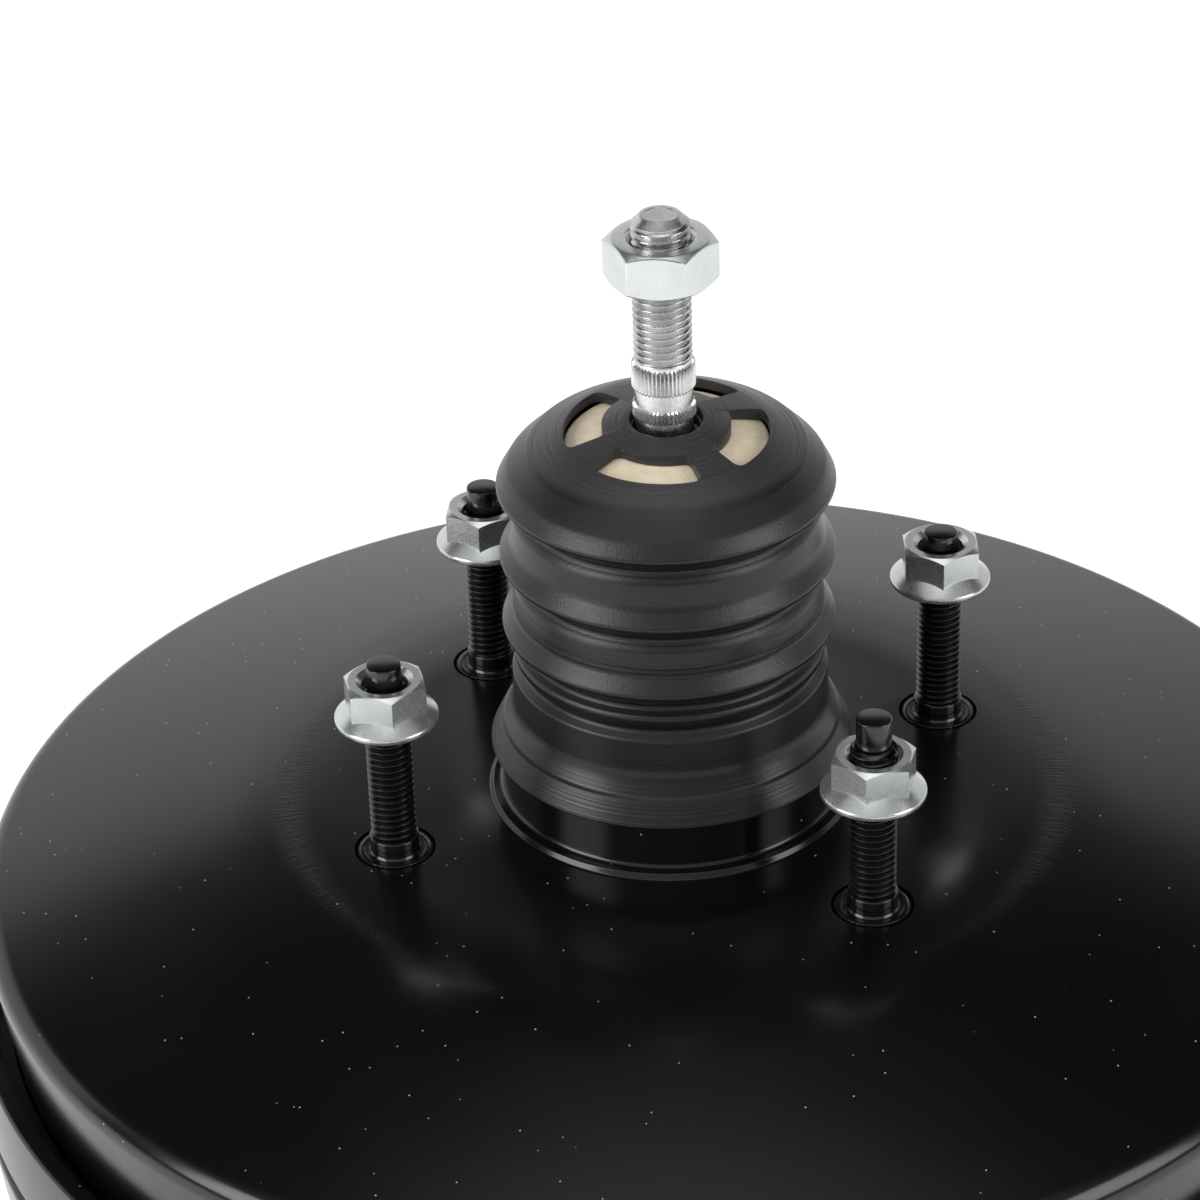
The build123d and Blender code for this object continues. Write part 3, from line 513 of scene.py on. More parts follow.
def mergeDoubles():
    bpy.ops.mesh.select_all(action="SELECT")
    bpy.ops.mesh.remove_doubles(threshold=mergeReach)


def closeUp(piece):
    # the end of every new mesh: doubles merged, faces turned outwards, out of edit mode
    mergeDoubles()
    bpy.ops.mesh.normals_make_consistent(inside=False)
    bpy.ops.object.mode_set(mode="OBJECT")
    smooth(piece)
    return piece


def cutAt(height, kept):
    # in edit mode, keeps what lies above or below a height and closes the cut
    bpy.ops.mesh.select_all(action="SELECT")
    bpy.ops.mesh.bisect(plane_co=(0, 0, height * mm), plane_no=(0, 0, 1), use_fill=True,
                        clear_inner=kept == "above", clear_outer=kept == "below")


def rounded(*corners, steps=6):
    # (r, z) points of a line whose corners (r, z, bend) are rounded with arcs
    points = []
    for index, corner in enumerate(corners):
        here = Vector(corner[:2])
        if len(corner) < 3 or index in (0, len(corners) - 1):
            points.append(tuple(here))
            continue
        back = Vector(corners[index - 1][:2]) - here
        on = Vector(corners[index + 1][:2]) - here
        half = back.angle(on) / 2
        reach = min(corner[2] / tan(half), 0.48 * back.length, 0.48 * on.length)
        bend = reach * tan(half)
        start = here + back.normalized() * reach
        centre = here + (back.normalized() + on.normalized()).normalized() * (bend / sin(half))
        arm = start - centre
        sweep = pi - 2 * half
        way = 1 if back.x * on.y - back.y * on.x < 0 else -1
        for step in range(steps + 1):
            angle = way * sweep * step / steps
            points.append((centre.x + arm.x * cos(angle) - arm.y * sin(angle),
                           centre.y + arm.x * sin(angle) + arm.y * cos(angle)))
    return points


def drawLine(name, points, closed=False):
    # an edge line through (x, y, z) points, extruded vertex by vertex
    bare()
    bpy.ops.mesh.primitive_plane_add(size=mm)
    piece = called(bpy.context.object, name)
    bpy.ops.object.mode_set(mode="EDIT")
    bpy.ops.mesh.select_all(action="SELECT")
    bpy.ops.mesh.merge(type="CENTER")
    bpy.ops.transform.translate(value=Vector(points[0]) * mm)
    for before, point in zip(points, points[1:]):
        step = (Vector(point) - Vector(before)) * mm
        bpy.ops.mesh.extrude_vertices_move(TRANSFORM_OT_translate={"value": step})
    if closed:
        ends = bmesh.from_edit_mesh(piece.data)
        ends.verts.ensure_lookup_table()
        ends.verts[0].select = True
        bmesh.update_edit_mesh(piece.data)
        bpy.ops.mesh.edge_face_add()
    return piece


def turned(name, points, sides=96, closed=False):
    # an outline of (r, z) points spun round Z; closed joins its two ends
    piece = drawLine(name, [(r, 0, z) for r, z in points], closed)
    bpy.ops.mesh.select_all(action="SELECT")
    bpy.ops.mesh.spin(steps=sides, angle=2 * pi, center=(0, 0, 0), axis=(0, 0, 1))
    return closeUp(piece)


def upright(name, points, low, high):
    # a flat outline of (x, y) points filled and extruded from one height to another
    piece = drawLine(name, [(x, y, low) for x, y in points], closed=True)
    bpy.ops.mesh.select_all(action="SELECT")
    bpy.ops.mesh.edge_face_add()
    bpy.ops.mesh.extrude_region_move(TRANSFORM_OT_translate={"value": (0, 0, (high - low) * mm)})
    return closeUp(piece)


def applyLast(piece):
    takeUp(piece)
    bpy.ops.object.modifier_apply(modifier=piece.modifiers[-1].name)


def combine(piece, other, operation="DIFFERENCE"):
    change = piece.modifiers.new(operation.lower(), "BOOLEAN")
    change.operation = operation
    change.solver = "EXACT"
    change.object = other
    applyLast(piece)
    bpy.data.objects.remove(other)


def softenEdges(piece, width, angle=28):
    change = piece.modifiers.new("edges", "BEVEL")
    change.width = width * mm
    change.segments = 2
    change.limit_method = "ANGLE"
    change.angle_limit = radians(angle)
    applyLast(piece)
    smooth(piece)


def joined(name, pieces):
    takeUp(pieces[0])
    for piece in pieces[1:]:
        piece.select_set(True)
    bpy.ops.object.join()
    return called(bpy.context.object, name)


def copied(piece, x, y, z=0.0, turn=0.0):
    takeUp(piece)
    bpy.ops.object.duplicate(linked=False)
    copy = bpy.context.object
    copy.rotation_euler.z = radians(turn)
    copy.location = Vector((x, y, z)) * mm
    return settle(copy)


def prism(x, y, radius, low, high, sides=96):
    bare()
    bpy.ops.mesh.primitive_cylinder_add(vertices=sides, radius=radius * mm, depth=(high - low) * mm,
                                        location=(x * mm, y * mm, (low + high) / 2 * mm))
    return settle(bpy.context.object)


def drills(places, radius, low, high):
    return joined("drills", [prism(x, y, radius, low, high) for x, y in places])


def screwThread(name, outer, pitch, low, high, segments=40):
    # one pitch of the thread's profile wound round Z, cut off square at both ends
    root = outer - 0.6 * pitch
    start = low - 1.5 * pitch
    crest = 0.07 * pitch
    crestFall = 0.04
    profile = [(root, 0), (outer - crestFall, 0.43 * pitch - crest), (outer, 0.43 * pitch),
               (outer, 0.5 * pitch), (outer - crestFall, 0.5 * pitch + crest),
               (root, 0.93 * pitch), (root, pitch)]
    piece = drawLine(name, [(r, 0, start + z) for r, z in profile])
    bpy.ops.object.mode_set(mode="OBJECT")
    wind = piece.modifiers.new("wind", "SCREW")
    wind.axis = "Z"
    wind.angle = 2 * pi
    wind.screw_offset = pitch * mm
    wind.iterations = ceil((high - low) / pitch) + 3
    wind.steps = segments
    wind.render_steps = segments
    applyLast(piece)
    bpy.ops.object.mode_set(mode="EDIT")
    mergeDoubles()
    cutAt(low, "above")
    cutAt(high, "below")
    return closeUp(piece)


def coiled(name, wire, radius, low, high, turns, steps=36):
    # a spring of round wire, wound from one height to another
    count = round(turns * steps)
    rise = high - low - 2 * wire
    points = []
    for step in range(count + 1):
        turn = 2 * pi * turns * step / count
        points.append((radius * cos(turn), radius * sin(turn), low + wire + rise * step / count))
    drawLine(name, points)
    bpy.ops.object.mode_set(mode="OBJECT")
    bpy.ops.object.convert(target="CURVE")
    wound = bpy.context.object.data
    wound.bevel_depth = wire * mm
    wound.bevel_resolution = 3
    wound.use_fill_caps = True
    bpy.ops.object.convert(target="MESH")
    piece = called(bpy.context.object, name)
    bpy.ops.object.mode_set(mode="EDIT")
    return closeUp(piece)


def toothedDrum(name, teeth, outer, depth, rings):
    # a drum with V teeth; rings are (height, share of the full radius) from foot to top
    bare()
    foot, share = rings[0]
    bpy.ops.mesh.primitive_circle_add(vertices=2 * teeth, radius=outer * share * mm, fill_type="NGON",
                                      location=(0, 0, foot * mm))
    piece = called(settle(bpy.context.object), name)
    bpy.ops.object.mode_set(mode="EDIT")
    bpy.ops.mesh.select_all(action="DESELECT")
    bpy.ops.mesh.select_mode(type="VERT")
    edit = bmesh.from_edit_mesh(piece.data)
    for vertex in edit.verts:
        vertex.select = vertex.index % 2 == 1
    bmesh.update_edit_mesh(piece.data)
    valley = 1 - depth / outer
    bpy.ops.transform.resize(value=(valley, valley, 1), center_override=(0, 0, foot * mm))
    bpy.ops.mesh.select_all(action="SELECT")
    for height, nextShare in rings[1:]:
        bpy.ops.mesh.extrude_region_move(TRANSFORM_OT_translate={"value": (0, 0, (height - foot) * mm)})
        scale = nextShare / share
        bpy.ops.transform.resize(value=(scale, scale, 1), center_override=(0, 0, height * mm))
        foot, share = height, nextShare
    return closeUp(piece)


def finished(piece, body, slot, *replaced):
    # gives a new piece its finish, its body, and the CAD nodes that it stands for; no body if it is blended
    piece.data.materials.clear()
    piece.data.materials.append(finishes[slot])
    if body:
        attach(piece, body)
    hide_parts(*replaced)


# shells

shellSides = 256

rearShellSizes = {
    "sheet": 1.8, "neckBore": 22.6, "neckRadius": 30.0, "neckHeight": 12.8, "neckEdge": 2.5, "neckFoot": 1.6,
    "ledgeRadius": 32.0, "ledgeHeight": 1.0, "ledgeEdge": 0.35, "ledgeSlope": 0.5,
    "faceRadius": 68.0, "faceBend": 130.0, "wallRadius": 124.3, "wallDraft": -3.6,
    "shoulderDrop": 11.5, "shoulderBend": 4.2, "rimRadius": 123.6, "rimHeight": -36.2, "rimBend": 0.6,
    "collarHole": 7.1, "holeFrom": -6, "holeTo": 3,
}


def addRearShell(size):
    sheet, neckRadius, neckHeight = size["sheet"], size["neckRadius"], size["neckHeight"]
    rimRadius, rimHeight = size["rimRadius"], size["rimHeight"]
    wallRadius, shoulder = size["wallRadius"], -size["shoulderDrop"]
    wallFoot = wallRadius + size["wallDraft"]
    outside = rounded(
        (size["neckBore"], neckHeight),
        (neckRadius, neckHeight, size["neckEdge"]),
        (neckRadius, size["ledgeHeight"], size["neckFoot"]),
        (size["ledgeRadius"], size["ledgeHeight"], size["ledgeEdge"]),
        (size["ledgeRadius"] + size["ledgeSlope"], 0.0, 0.4),
        (size["faceRadius"], 0.0, size["faceBend"]),
        (wallRadius, shoulder, size["shoulderBend"]),
        (wallFoot, rimHeight, size["rimBend"]),
        (rimRadius, rimHeight),
        steps=9,
    )
    inside = rounded(
        (rimRadius, rimHeight - sheet),
        (wallFoot - sheet, rimHeight - sheet, 1.0),
        (wallRadius - sheet, shoulder - 1.5, size["shoulderBend"] - 1.0),
        (size["faceRadius"], -sheet, 10.0),
        (neckRadius - sheet, -sheet, 2.0),
        (neckRadius - sheet, neckHeight - sheet, 0.7),
        (size["neckBore"], neckHeight - sheet),
        steps=4,
    )
    shell = turned("rearShell", outside + inside, shellSides, closed=True)
    combine(shell, drills(studPlaces, size["collarHole"], size["holeFrom"], size["holeTo"]))
    smooth(shell, 30)
    finished(shell, "shell", "shell_paint", "rear_shell")


frontShellSizes = {
    "sheet": 2.0, "lip": (124.2, -30.7), "lipEdge": (127.2, -31.2), "skirtLow": (127.8, -44.6),
    "groove": (124.6, -46.9), "bowlTop": (127.4, -49.5), "bowlWall": (125.5, -66.0),
    "ledge": (100.0, -101.0), "faceEdge": 58.0, "face": -110.0, "bore": 21.0, "boreTop": -98.0,
    "clampTop": -37.0, "clampFoot": -38.0,      # inside of the lip, over the diaphragm's bead
    "studsApart": 90.0, "collarHole": 7.1, "valveHole": 9.5, "valveReach": 78.0,
}


def addFrontShell(size):
    sheet = size["sheet"]
    ledgeRadius, ledge = size["ledge"]
    face, faceEdge, bore = size["face"], size["faceEdge"], size["bore"]
    lipRadius, lip = size["lip"]
    wallRadius, wallTop = size["bowlWall"]
    bowlRadius, bowlTop = size["bowlTop"]
    grooveRadius, groove = size["groove"]
    skirtRadius, skirtLow = size["skirtLow"]
    outside = rounded(
        (lipRadius, lip - 0.5),
        (lipRadius, lip, 0.25),
        (*size["lipEdge"], 0.9),
        (skirtRadius, skirtLow, 1.2),
        (grooveRadius, groove, 0.9),
        (bowlRadius, bowlTop, 1.4),
        (wallRadius, wallTop, 18.0),
        (ledgeRadius, ledge, 12.0),
        (faceEdge + 3.0, ledge, 4.0),
        (faceEdge, face, 4.0),
        (bore, face, 2.6),
        (bore, size["boreTop"]),
        steps=8,
    )
    inside = rounded(
        (bore + sheet, size["boreTop"]),
        (bore + sheet, face + sheet, 0.8),
        (faceEdge + 1.4, face + sheet, 2.0),
        (faceEdge + 4.4, ledge + sheet, 5.5),
        (ledgeRadius - 0.8, ledge + sheet, 10.0),
        (wallRadius - sheet, wallTop + 0.6, 16.0),
        (bowlRadius - sheet, bowlTop, 1.0),
        (grooveRadius - sheet, groove, 1.5),
        (skirtRadius - sheet, skirtLow + 0.6, 0.8),
        (size["lipEdge"][0] - sheet, size["clampFoot"], 1.0),
        (lipRadius, size["clampTop"]),
        steps=4,
    )
    shell = turned("frontShell", outside + inside, shellSides, closed=True)
    half = size["studsApart"] / 2
    studHoles = drills([(-half, 0), (half, 0)], size["collarHole"], face - 3, face + 6)
    valveHole = prism(0, size["valveReach"], size["valveHole"], ledge - 4, ledge + 6)
    combine(shell, joined("holes", [studHoles, valveHole]))
    smooth(shell, 30)
    finished(shell, "shell", "shell_paint", "front_shell")


addRearShell(rearShellSizes)
addFrontShell(frontShellSizes)
print("shells ready")


# studs and flange nuts

firewallStudSizes = {
    "collar": 6.8, "collarTeeth": 48, "toothDepth": 0.55, "collarDip": 0.35,
    "shank": 4.3, "shankLength": 3.0, "thread": 4.0, "pitch": 1.25, "length": 37.4,
    "point": 3.0, "pointLength": 5.0, "head": 9.0, "headTop": -4.8, "headHeight": 3.0,
    "turns": [17, 64, 143, 231],
}
cylinderStudSizes = {
    **firewallStudSizes, "length": 25.0, "pointLength": 0, "head": 8.0, "headTop": -5.0, "turns": [20, 75],
}


def makeStud(size):
    collar, dip, shank, shankTop = size["collar"], size["collarDip"], size["shank"], size["shankLength"]
    thread, point, length = size["thread"], size["point"], size["length"]
    head, headTop, headFoot = size["head"], size["headTop"], size["headTop"] - size["headHeight"]
    threadTop = length - size["pointLength"]
    foot = turned("studFoot", rounded(
        (0, headFoot),
        (head, headFoot, 1.0),
        (head, headTop, 0.3),
        (collar - 0.5, headTop, 0.2),
        (collar - 0.5, 0.0, 0.25),
        (collar - 1.5, 0.0, 0.1),
        (collar - 1.7, -dip, 0.2),
        (shank + 0.45, -dip, 0.2),
        (shank, 0.3, 0.2),
        (shank, shankTop, 0.25),
        (thread - 0.7, shankTop + 0.5),
        (0, shankTop + 0.5),
        steps=3,
    ), 64)
    teeth = toothedDrum("collarTeeth", size["collarTeeth"], collar, size["toothDepth"],
                        [(headTop + 0.1, 1.0), (-dip, 1.0), (-0.08, 0.985)])
    wound = screwThread("studThread", thread, size["pitch"], shankTop + 0.2, threadTop)
    ends = turned("threadEnds", [
        (0, shankTop - 1), (thread + 0.1, shankTop - 1), (thread + 0.1, threadTop - 1.0),
        (point + 0.1, threadTop + 0.05), (0, threadTop + 0.05),
    ], 64)
    combine(wound, ends, "INTERSECT")
    smooth(wound, 30)
    pieces = [foot, teeth, wound]
    if size["pointLength"]:
        pieces.append(turned("studPoint", rounded(
            (0, threadTop - 1),
            (point, threadTop - 1, 0.1),
            (point, length, 0.22),
            (0, length),
            steps=4,
        ), 56))
    return joined("stud", pieces)


def addStuds(name, model, places, turns, node):
    studs = [copied(model, x, y, turn=turn) for (x, y), turn in zip(places, turns)]
    bpy.data.objects.remove(model)
    finished(joined(name, studs), "shell", "black_studs", node)


def addFirewallStuds(size):
    addStuds("firewallStuds", makeStud(size), studPlaces, size["turns"], "firewall_studs")


def addCylinderStuds(size):
    model = makeStud(size)
    model.rotation_euler.x = pi
    model.location.z = frontShellSizes["face"] * mm
    half = frontShellSizes["studsApart"] / 2
    addStuds("cylinderStuds", settle(model), [(-half, 0), (half, 0)], size["turns"], "master_cylinder_studs")


flangeNutSizes = {
    "flats": 13.0, "height": 8.0, "bore": 4.05, "flange": 8.95, "flangeEdge": 1.1, "flangeBend": 0.5,
    "coneTop": 3.0, "coneRadius": 6.4, "hexagonFoot": 0.4, "smoothTo": 11,
    "feet": [26.4, 22.5, 27.4, 25.5], "turns": [26, 1, 15, 8],
}


def makeHexagon(name, flats, low, high, chamferFoot=False):
    # the bar stands proud of the chamfered ends, so that the cut has no two faces in one plane
    corner = flats / sqrt(3)
    proud = 0.5
    nut = called(prism(0, 0, corner, low - proud if chamferFoot else low, high + proud, 6), name)
    outside = corner + 1
    chamferRadius = flats / 2 * 0.965
    fall = (outside - chamferRadius) * tan(radians(30))
    foot = [(chamferRadius, low), (outside, low + fall)] if chamferFoot else [(outside, low - proud)]
    top = [(outside, high - fall), (chamferRadius, high)]
    combine(nut, turned("chamfer", [(0, foot[0][1]), *foot, *top, (0, high)]), "INTERSECT")
    return nut


def boreCutter(bore, low, high, sinkLow, sinkHigh, sides):
    # a drill with a countersink at both ends
    return turned("hole", [
        (0, low - 1), (bore + sinkLow, low - 1), (bore + sinkLow, low), (bore, low + sinkLow),
        (bore, high - sinkHigh), (bore + sinkHigh, high), (bore + sinkHigh, high + 1), (0, high + 1),
    ], sides)


def addFlangeNuts(size):
    model = makeHexagon("flangeNut", size["flats"], size["hexagonFoot"], size["height"])
    flange = turned("flange", rounded(
        (0, 0),
        (size["flange"], 0, size["flangeBend"]),
        (size["flange"], size["flangeEdge"], size["flangeBend"]),
        (size["coneRadius"], size["coneTop"], 0.8),
        (0, size["coneTop"]),
        steps=5,
    ))
    combine(model, flange, "UNION")
    combine(model, boreCutter(size["bore"], 0, size["height"], 0.8, 0.9, 72))
    takeUp(model)
    bpy.ops.object.mode_set(mode="EDIT")
    closeUp(model)
    nuts = [copied(model, x, y, foot, turn)
            for (x, y), foot, turn in zip(studPlaces, size["feet"], size["turns"])]
    bpy.data.objects.remove(model)
    nuts = joined("flangeNuts", nuts)
    smooth(nuts, size["smoothTo"])
    finished(nuts, "shell", "zinc_plate", "firewall_nuts")


addFirewallStuds(firewallStudSizes)
addCylinderStuds(cylinderStudSizes)
addFlangeNuts(flangeNutSizes)
print("studs and nuts ready")


# push rod and its lock nut

rodSizes = {
    "end": 110.5, "threadFoot": 84.0, "thread": 5.0, "pitch": 1.25, "endRadius": 3.5, "endDish": 2.3,
    "knurl": 5.45, "knurlTeeth": 46, "knurlDepth": 0.38, "knurlLength": 5.2,
    "groove": 4.95, "grooveLength": 2.6, "shoulder": 5.45, "shoulderFoot": 48.0,
    "shank": 3.9, "ball": 5.3, "ballHeight": 8.0, "ballSteps": 24,
}


def addPushRod(size):
    end, threadFoot, thread = size["end"], size["threadFoot"], size["thread"]
    endRadius, endDish, shank = size["endRadius"], size["endDish"], size["shank"]
    upperFoot = threadFoot - size["knurlLength"]
    lowerTop = upperFoot - size["grooveLength"]
    lowerFoot = lowerTop - size["grooveLength"]
    ball, middle, ballSteps = size["ball"], size["ballHeight"], size["ballSteps"]
    neckTurn = atan2(sqrt(ball ** 2 - shank ** 2), shank)
    ballTurns = [-pi / 2 + (neckTurn + pi / 2) * step / ballSteps for step in range(1, ballSteps + 1)]
    ballArc = [(ball * cos(turn), middle + ball * sin(turn)) for turn in ballTurns]
    core = turned("pushRod", [(0, middle - ball), *ballArc, *rounded(
        (shank, middle + ball),
        (shank, size["shoulderFoot"], 0.4),
        (size["shoulder"], size["shoulderFoot"], 0.3),
        (size["shoulder"], lowerFoot - 4.0, 0.3),
        (size["groove"], lowerFoot - 3.1, 0.3),
        (size["groove"], threadFoot + 0.4, 0.2),
        (0, threadFoot + 0.4),
        steps=4,
    )], 72)
    knurl = (size["knurlTeeth"], size["knurl"], size["knurlDepth"])
    upper = toothedDrum("upperKnurl", *knurl, [
        (upperFoot, 0.93), (upperFoot + 0.35, 1.0), (threadFoot - 0.7, 1.0), (threadFoot + 0.1, 0.88)])
    lower = toothedDrum("lowerKnurl", *knurl, [
        (lowerFoot, 0.95), (lowerFoot + 0.25, 1.0), (lowerTop - 0.5, 1.0), (lowerTop, 0.9)])
    wound = screwThread("rodThread", thread, size["pitch"], threadFoot - 0.2, end - 0.1, 56)
    ends = turned("threadEnds", [
        (0, threadFoot - 1), (thread + 0.1, threadFoot - 1), (thread + 0.1, end - 1.6),
        (endRadius, end - 0.05), (0, end - 0.05),
    ], 72)
    combine(wound, ends, "INTERSECT")
    smooth(wound, 30)
    tip = turned("rodTip", rounded(
        (0, end - 3),
        (endRadius + 0.25, end - 3),
        (endRadius + 0.25, end - 0.35, 0.1),
        (endRadius - 0.1, end, 0.2),
        (endDish + 0.25, end, 0.1),
        (endDish, end - 0.22, 0.1),
        (endDish * 0.5, end - 0.12, 0.6),
        (0, end - 0.14),
        steps=4,
    ), 72)
    finished(joined("pushRod", [core, upper, lower, wound, tip]), "pedal_rod", "rod_zinc", "push_rod")


rodNutSizes = {
    "flats": 17.0, "height": 8.0, "foot": 98.5, "turn": 38.0, "bore": 5.05, "sink": 0.9,
    "edge": 0.3, "smoothTo": 11,
}


def addRodNut(size):
    low, high, sink = size["foot"], size["foot"] + size["height"], size["sink"]
    nut = makeHexagon("rodNut", size["flats"], low, high, chamferFoot=True)
    combine(nut, boreCutter(size["bore"], low, high, sink, sink, 80))
    softenEdges(nut, size["edge"])
    nut.rotation_euler.z = radians(size["turn"])
    settle(nut)
    smooth(nut, size["smoothTo"])
    finished(nut, "pedal_rod", "zinc_plate", "push_rod_nut")


addPushRod(rodSizes)
addRodNut(rodNutSizes)
print("push rod ready")


# dust boot and filter

bootSizes = {
    "hole": 6.3, "lipHole": 5.85, "lipDrop": 1.5, "top": 72.6, "dome": (18.0, 70.4), "cap": (23.9, 67.2),
    "wall": 1.8, "hub": 8.0, "hubHeight": 3.4, "shoulder": (27.3, 64.2),
    "crest": 29.4, "valley": 25.0, "rim": 26.6, "slope": 27.0, "firstCrest": 60.6, "pitch": 13.2, "folds": 3,
    "valleyDrop": 0.27, "rimDrop": 0.38, "slopeDrop": 0.76,     # shares of the pitch below a crest
    "ridge": (27.3, 29.4), "ridgeHeight": 1.6, "partingLine": 38.7,
    "bodyTop": (27.6, 24.9), "bodyFoot": (28.8, 15.5), "lip": (32.0, 10.0), "neck": 30.3, "neckTop": 12.9,
    "ventInner": 11.0, "ventOuter": 17.6, "ventSpan": 67.0, "ventCorner": 1.4, "ventTurns": [0, 90, 180, 270],
    "capLean": 2.8,             # degrees that the soft cap sags to one side
    "capLeanTurn": -75,         # towards this side, counted from +X
    "capShift": 0.3,            # sideways drift of the cap along X
    "moulded": 0.14,            # width of the edges' bevel
    "smoothTo": 38,
    "flexFrom": 12.0,           # the bellows from this height up to the seam
    "seam": 59.4,               # in the groove under the cap, where the boot and its cap are cut apart
    "capFlex": (60.0, 70.0),    # two heights across the cap
}


def bootFolds(size):
    pitch, slope = size["pitch"], size["slope"]
    lipTop = size["top"] - size["lipDrop"]
    line = [(size["lipHole"], lipTop - 0.2), (size["hole"] - 0.1, lipTop, 0.2),
            (size["hole"], size["top"], 0.25), (*size["dome"], 14.0), (*size["cap"], 0.8),
            (*size["shoulder"], 4.0)]
    for fold in range(size["folds"]):
        crest = size["firstCrest"] - fold * pitch
        line.append((size["crest"], crest, 1.1))
        line.append((size["valley"], crest - pitch * size["valleyDrop"], 1.0))
        if fold == size["folds"] - 1:
            break
        line.append((size["rim"], crest - pitch * size["rimDrop"], 2.4))
        if fold == 1:
            parting = size["partingLine"]
            line += [(slope - 0.1, parting + 0.3, 0.1), (slope - 0.3, parting, 0.1),
                     (slope + 0.1, parting - 0.3, 0.1)]
        line.append((slope, crest - pitch * size["slopeDrop"], 4.0))
    return line


def bootRidge(size):
    ridgeRadius, ridgeTop = size["ridge"]
    ridgeFoot = ridgeTop - size["ridgeHeight"]
    return [(ridgeRadius, ridgeTop, 1.0), (ridgeRadius - 0.2, ridgeFoot, 1.0),
            (ridgeRadius - 1.4, ridgeFoot - 1.6, 0.7), (*size["bodyTop"], 0.8)]


def ventOutline(size):
    # a ring sector with rounded corners, as (x, y) points
    inner, outer, corner = size["ventInner"], size["ventOuter"], size["ventCorner"]
    reach = radians(size["ventSpan"] / 2)
    outerMiddle, innerMiddle = outer - corner, inner + corner
    outerTurn, innerTurn = reach - corner / outerMiddle, reach - corner / innerMiddle
    points = []

    def arc(middle, middleTurn, radius, start, sweep, steps):
        for step in range(steps):
            angle = start + sweep * step / steps
            points.append((middle * cos(middleTurn) + radius * cos(angle),
                           middle * sin(middleTurn) + radius * sin(angle)))

    arc(0, 0, outer, -outerTurn, 2 * outerTurn, 20)
    arc(outerMiddle, outerTurn, corner, outerTurn, pi / 2, 5)
    arc(innerMiddle, innerTurn, corner, innerTurn + pi / 2, pi / 2, 5)
    arc(0, 0, inner, innerTurn, -2 * innerTurn, 16)
    arc(innerMiddle, -innerTurn, corner, pi - innerTurn, pi / 2, 5)
    arc(outerMiddle, -outerTurn, corner, 1.5 * pi - outerTurn, pi / 2, 5)
    return points


def addBoot(size):
    bodyRadius, bodyFoot = size["bodyFoot"]
    lipRadius, lip = size["lip"]
    wall, neck, pitch = size["wall"], size["neck"], size["pitch"]
    hubFoot = size["top"] - size["hubHeight"]
    outside = rounded(
        *bootFolds(size),
        *bootRidge(size),
        (bodyRadius - 1.1, bodyFoot + 2.6, 7.0),
        (bodyRadius + 0.5, bodyFoot - 0.8, 1.4),
        (bodyRadius + 1.1, bodyFoot - 1.2, 0.4),
        (lipRadius - 0.1, lip + 0.25, 0.15),
        (lipRadius - 0.35, lip),
        steps=7,
    )
    innerFolds = []
    for fold in range(size["folds"]):
        crest = size["firstCrest"] - fold * pitch
        innerFolds.append((size["crest"] - 2.3, crest, 0.5))
        innerFolds.append((size["valley"] - wall, crest - pitch * size["valleyDrop"], 1.5))
        if fold < size["folds"] - 1:
            innerFolds.append((size["slope"] - wall, crest - pitch * size["slopeDrop"], 3.0))
    inside = rounded(
        (neck, lip),
        (neck, size["neckTop"], 0.3),
        (bodyRadius - 1.6, 14.0, 0.5),
        (bodyRadius - 2.4, bodyFoot + 2.0, 2.0),
        *reversed(innerFolds),
        (size["shoulder"][0] - 1.4, size["shoulder"][1] - 1.2, 1.5),
        (size["cap"][0] - 0.8, size["cap"][1] - 1.7, 1.0),
        (size["dome"][0] - 0.4, size["dome"][1] - wall, 4.0),
        (size["hub"], size["top"] - wall - 0.5, 0.4),
        (size["hub"], hubFoot, 0.4),
        (size["lipHole"], hubFoot, 0.3),
        (size["lipHole"], hubFoot + 0.5),
        steps=4,
    )
    boot = turned("dustBoot", outside + inside, 192, closed=True)
    for turn in size["ventTurns"]:
        cutter = upright("vent", ventOutline(size), size["firstCrest"] + 2, size["top"] + 3)
        cutter.rotation_euler.z = radians(turn)
        combine(boot, settle(cutter))
    softenEdges(boot, size["moulded"], 50)
    leanCap(boot, size)
    cap = called(copied(boot, 0, 0), "bootCap")
    for piece, kept in ((cap, "above"), (boot, "below")):
        takeUp(piece)
        bpy.ops.object.mode_set(mode="EDIT")
        cutAt(size["seam"], kept)
        bpy.ops.object.mode_set(mode="OBJECT")
    for piece in (boot, cap):
        smooth(piece, size["smoothTo"])
        finished(piece, None, "boot_rubber", "dust_boot")
    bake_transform(boot)
    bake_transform(cap)


def leanCap(boot, size):
    # the cap above the first fold sags a little to one side
    way = Vector((cos(radians(size["capLeanTurn"])), sin(radians(size["capLeanTurn"]))))
    low, high = (size["firstCrest"] + 0.5) * mm, size["cap"][1] * mm
    for vertex in boot.data.vertices:
        share = min(max((vertex.co.z - low) / (high - low), 0), 1)
        vertex.co.z -= vertex.co.xy.dot(way) * tan(radians(size["capLean"])) * share
        vertex.co.x += size["capShift"] * mm * share


foamSizes = {"inner": 5.75, "outer": 17.75, "foot": 57.0, "topGap": 0.3}


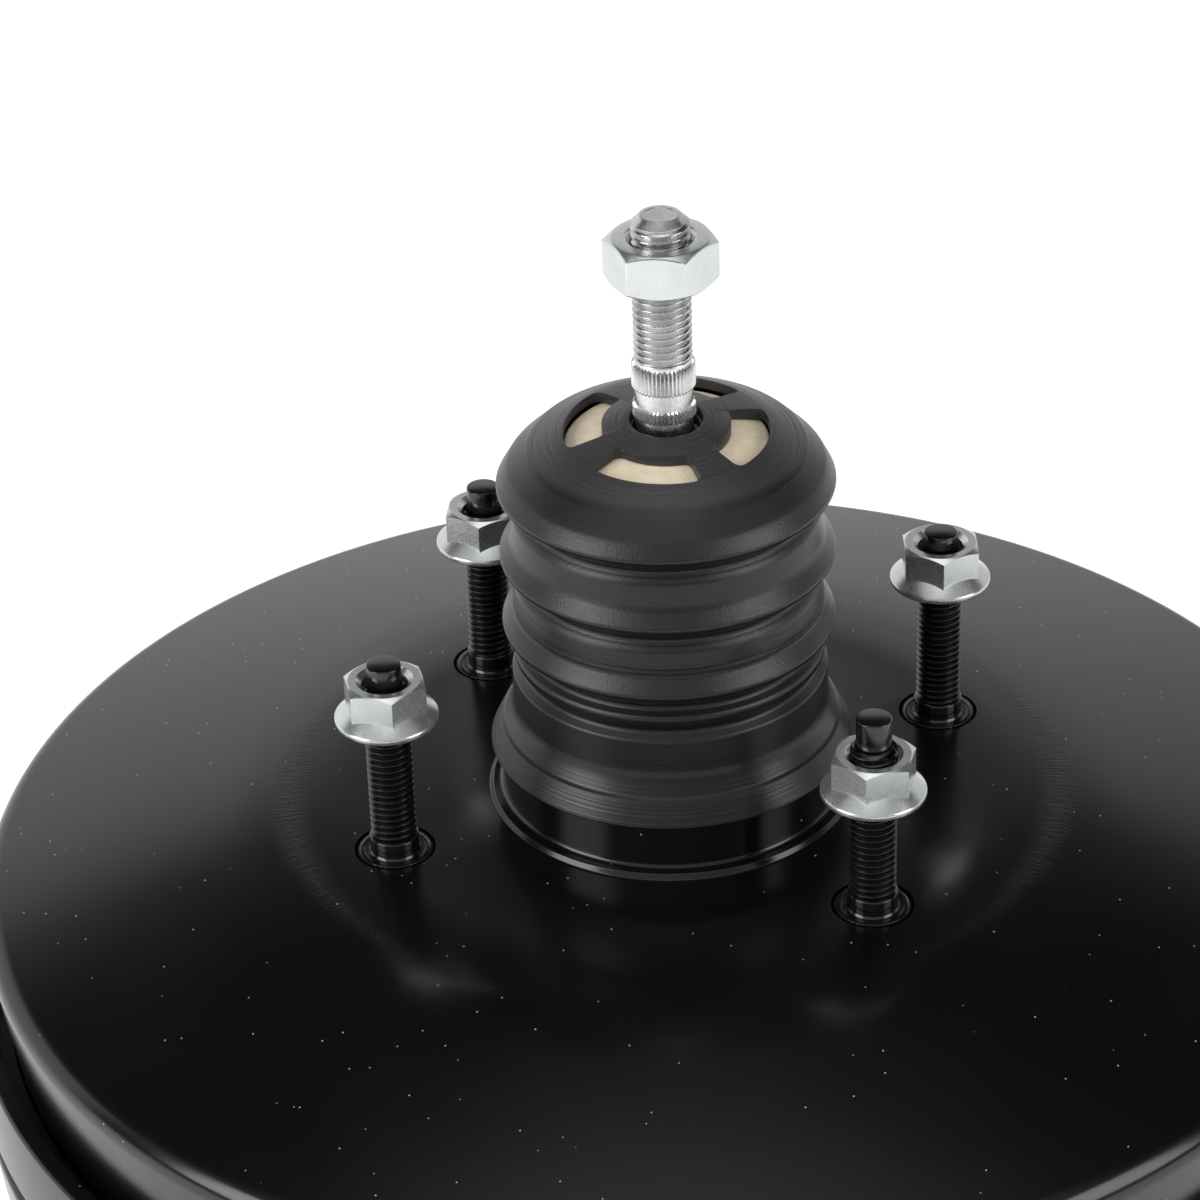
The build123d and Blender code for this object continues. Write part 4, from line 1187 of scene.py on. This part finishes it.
def addFoam(size, boot):
    domeRadius, domeHeight = boot["dome"]
    slope = (boot["top"] - domeHeight) / (domeRadius - boot["hole"])
    capInside = boot["top"] - boot["wall"] * 1.02 - size["topGap"]
    hubFoot = boot["top"] - boot["hubHeight"] - size["topGap"]
    inner, outer, hub = size["inner"], size["outer"], boot["hub"] + size["topGap"]
    halfway = (outer + hub) / 2
    foam = turned("foamFilter", rounded(
        (inner, size["foot"]),
        (outer, size["foot"], 0.3),
        (outer, capInside - (outer - boot["hole"]) * slope - 0.3, 1.2),
        (halfway, capInside - (halfway - boot["hole"]) * slope, 20.0),
        (hub, capInside - (hub - boot["hole"]) * slope, 0.4),
        (hub, hubFoot, 0.3),
        (inner, hubFoot),
        steps=5,
    ), 120, closed=True)
    leanCap(foam, boot)
    finished(foam, None, "cream_foam", "foam_filter")
    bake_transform(foam)


addBoot(bootSizes)
addFoam(foamSizes, bootSizes)
print("boot and filter ready")


# diaphragm and springs

diaphragmSizes = {
    "hub": 21.15, "top": -13.85, "wall": 2.0, "stepRadius": 62.0, "stepEnd": 72.0, "stepDrop": 4.2,
    "fold": 104.15, "foldFoot": -46.0, "plateRim": -31.8, "flexDepth": 6.0, "rim": 118.5,
    "bead": (118.0, -43.8), "beadEdge": (123.0, -38.2),
}


def addDiaphragm(size):
    top, wall, foot = size["top"], size["wall"], size["foldFoot"]
    hub, fold, rim = size["hub"], size["fold"], size["rim"]
    stepRadius, stepEnd, plate = size["stepRadius"], size["stepEnd"], top - size["stepDrop"]
    beadInner, beadLow = size["bead"]
    beadOuter, beadHigh = size["beadEdge"]
    sheet = turned("diaphragm", rounded(
        (hub, top - wall),
        (stepRadius, top - wall, 8.0),
        (stepEnd, plate - wall, 8.0),
        (fold, plate - wall, 3.0),
        (fold, foot, 3.0),
        (rim, foot, 2.0),
        (rim, beadLow),
        (beadOuter, beadLow, 0.8),
        (beadOuter, beadHigh, 0.8),
        (beadInner, beadHigh, 0.4),
        (beadInner, beadLow + 2.8, 0.3),
        (rim - wall, beadLow + 2.0, 0.3),
        (rim - wall, foot + wall, 1.0),
        (fold + wall, foot + wall, 1.0),
        (fold + wall, plate, 5.0),
        (stepEnd, plate, 8.0),
        (stepRadius, top, 8.0),
        (hub, top),
        steps=5,
    ), 160, closed=True)
    finished(sheet, None, "seal_rubber", "diaphragm")
    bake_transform(sheet)


springSizes = {
    "returnSpring": {"wire": 2.0, "radius": 31.0, "low": -104.7, "high": -23.3, "turns": 5.5},
    "rodReturnSpring": {"wire": 0.75, "radius": 8.4, "low": 33.0, "high": 46.2, "turns": 5.0},
}


def addSpring(name, node):
    size = springSizes[name]
    spring = coiled(name, **size)
    finished(spring, None, "spring_steel", node)
    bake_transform(spring)


addDiaphragm(diaphragmSizes)
addSpring("returnSpring", "return_spring")
addSpring("rodReturnSpring", "rod_return_spring")
print("diaphragm and springs ready")
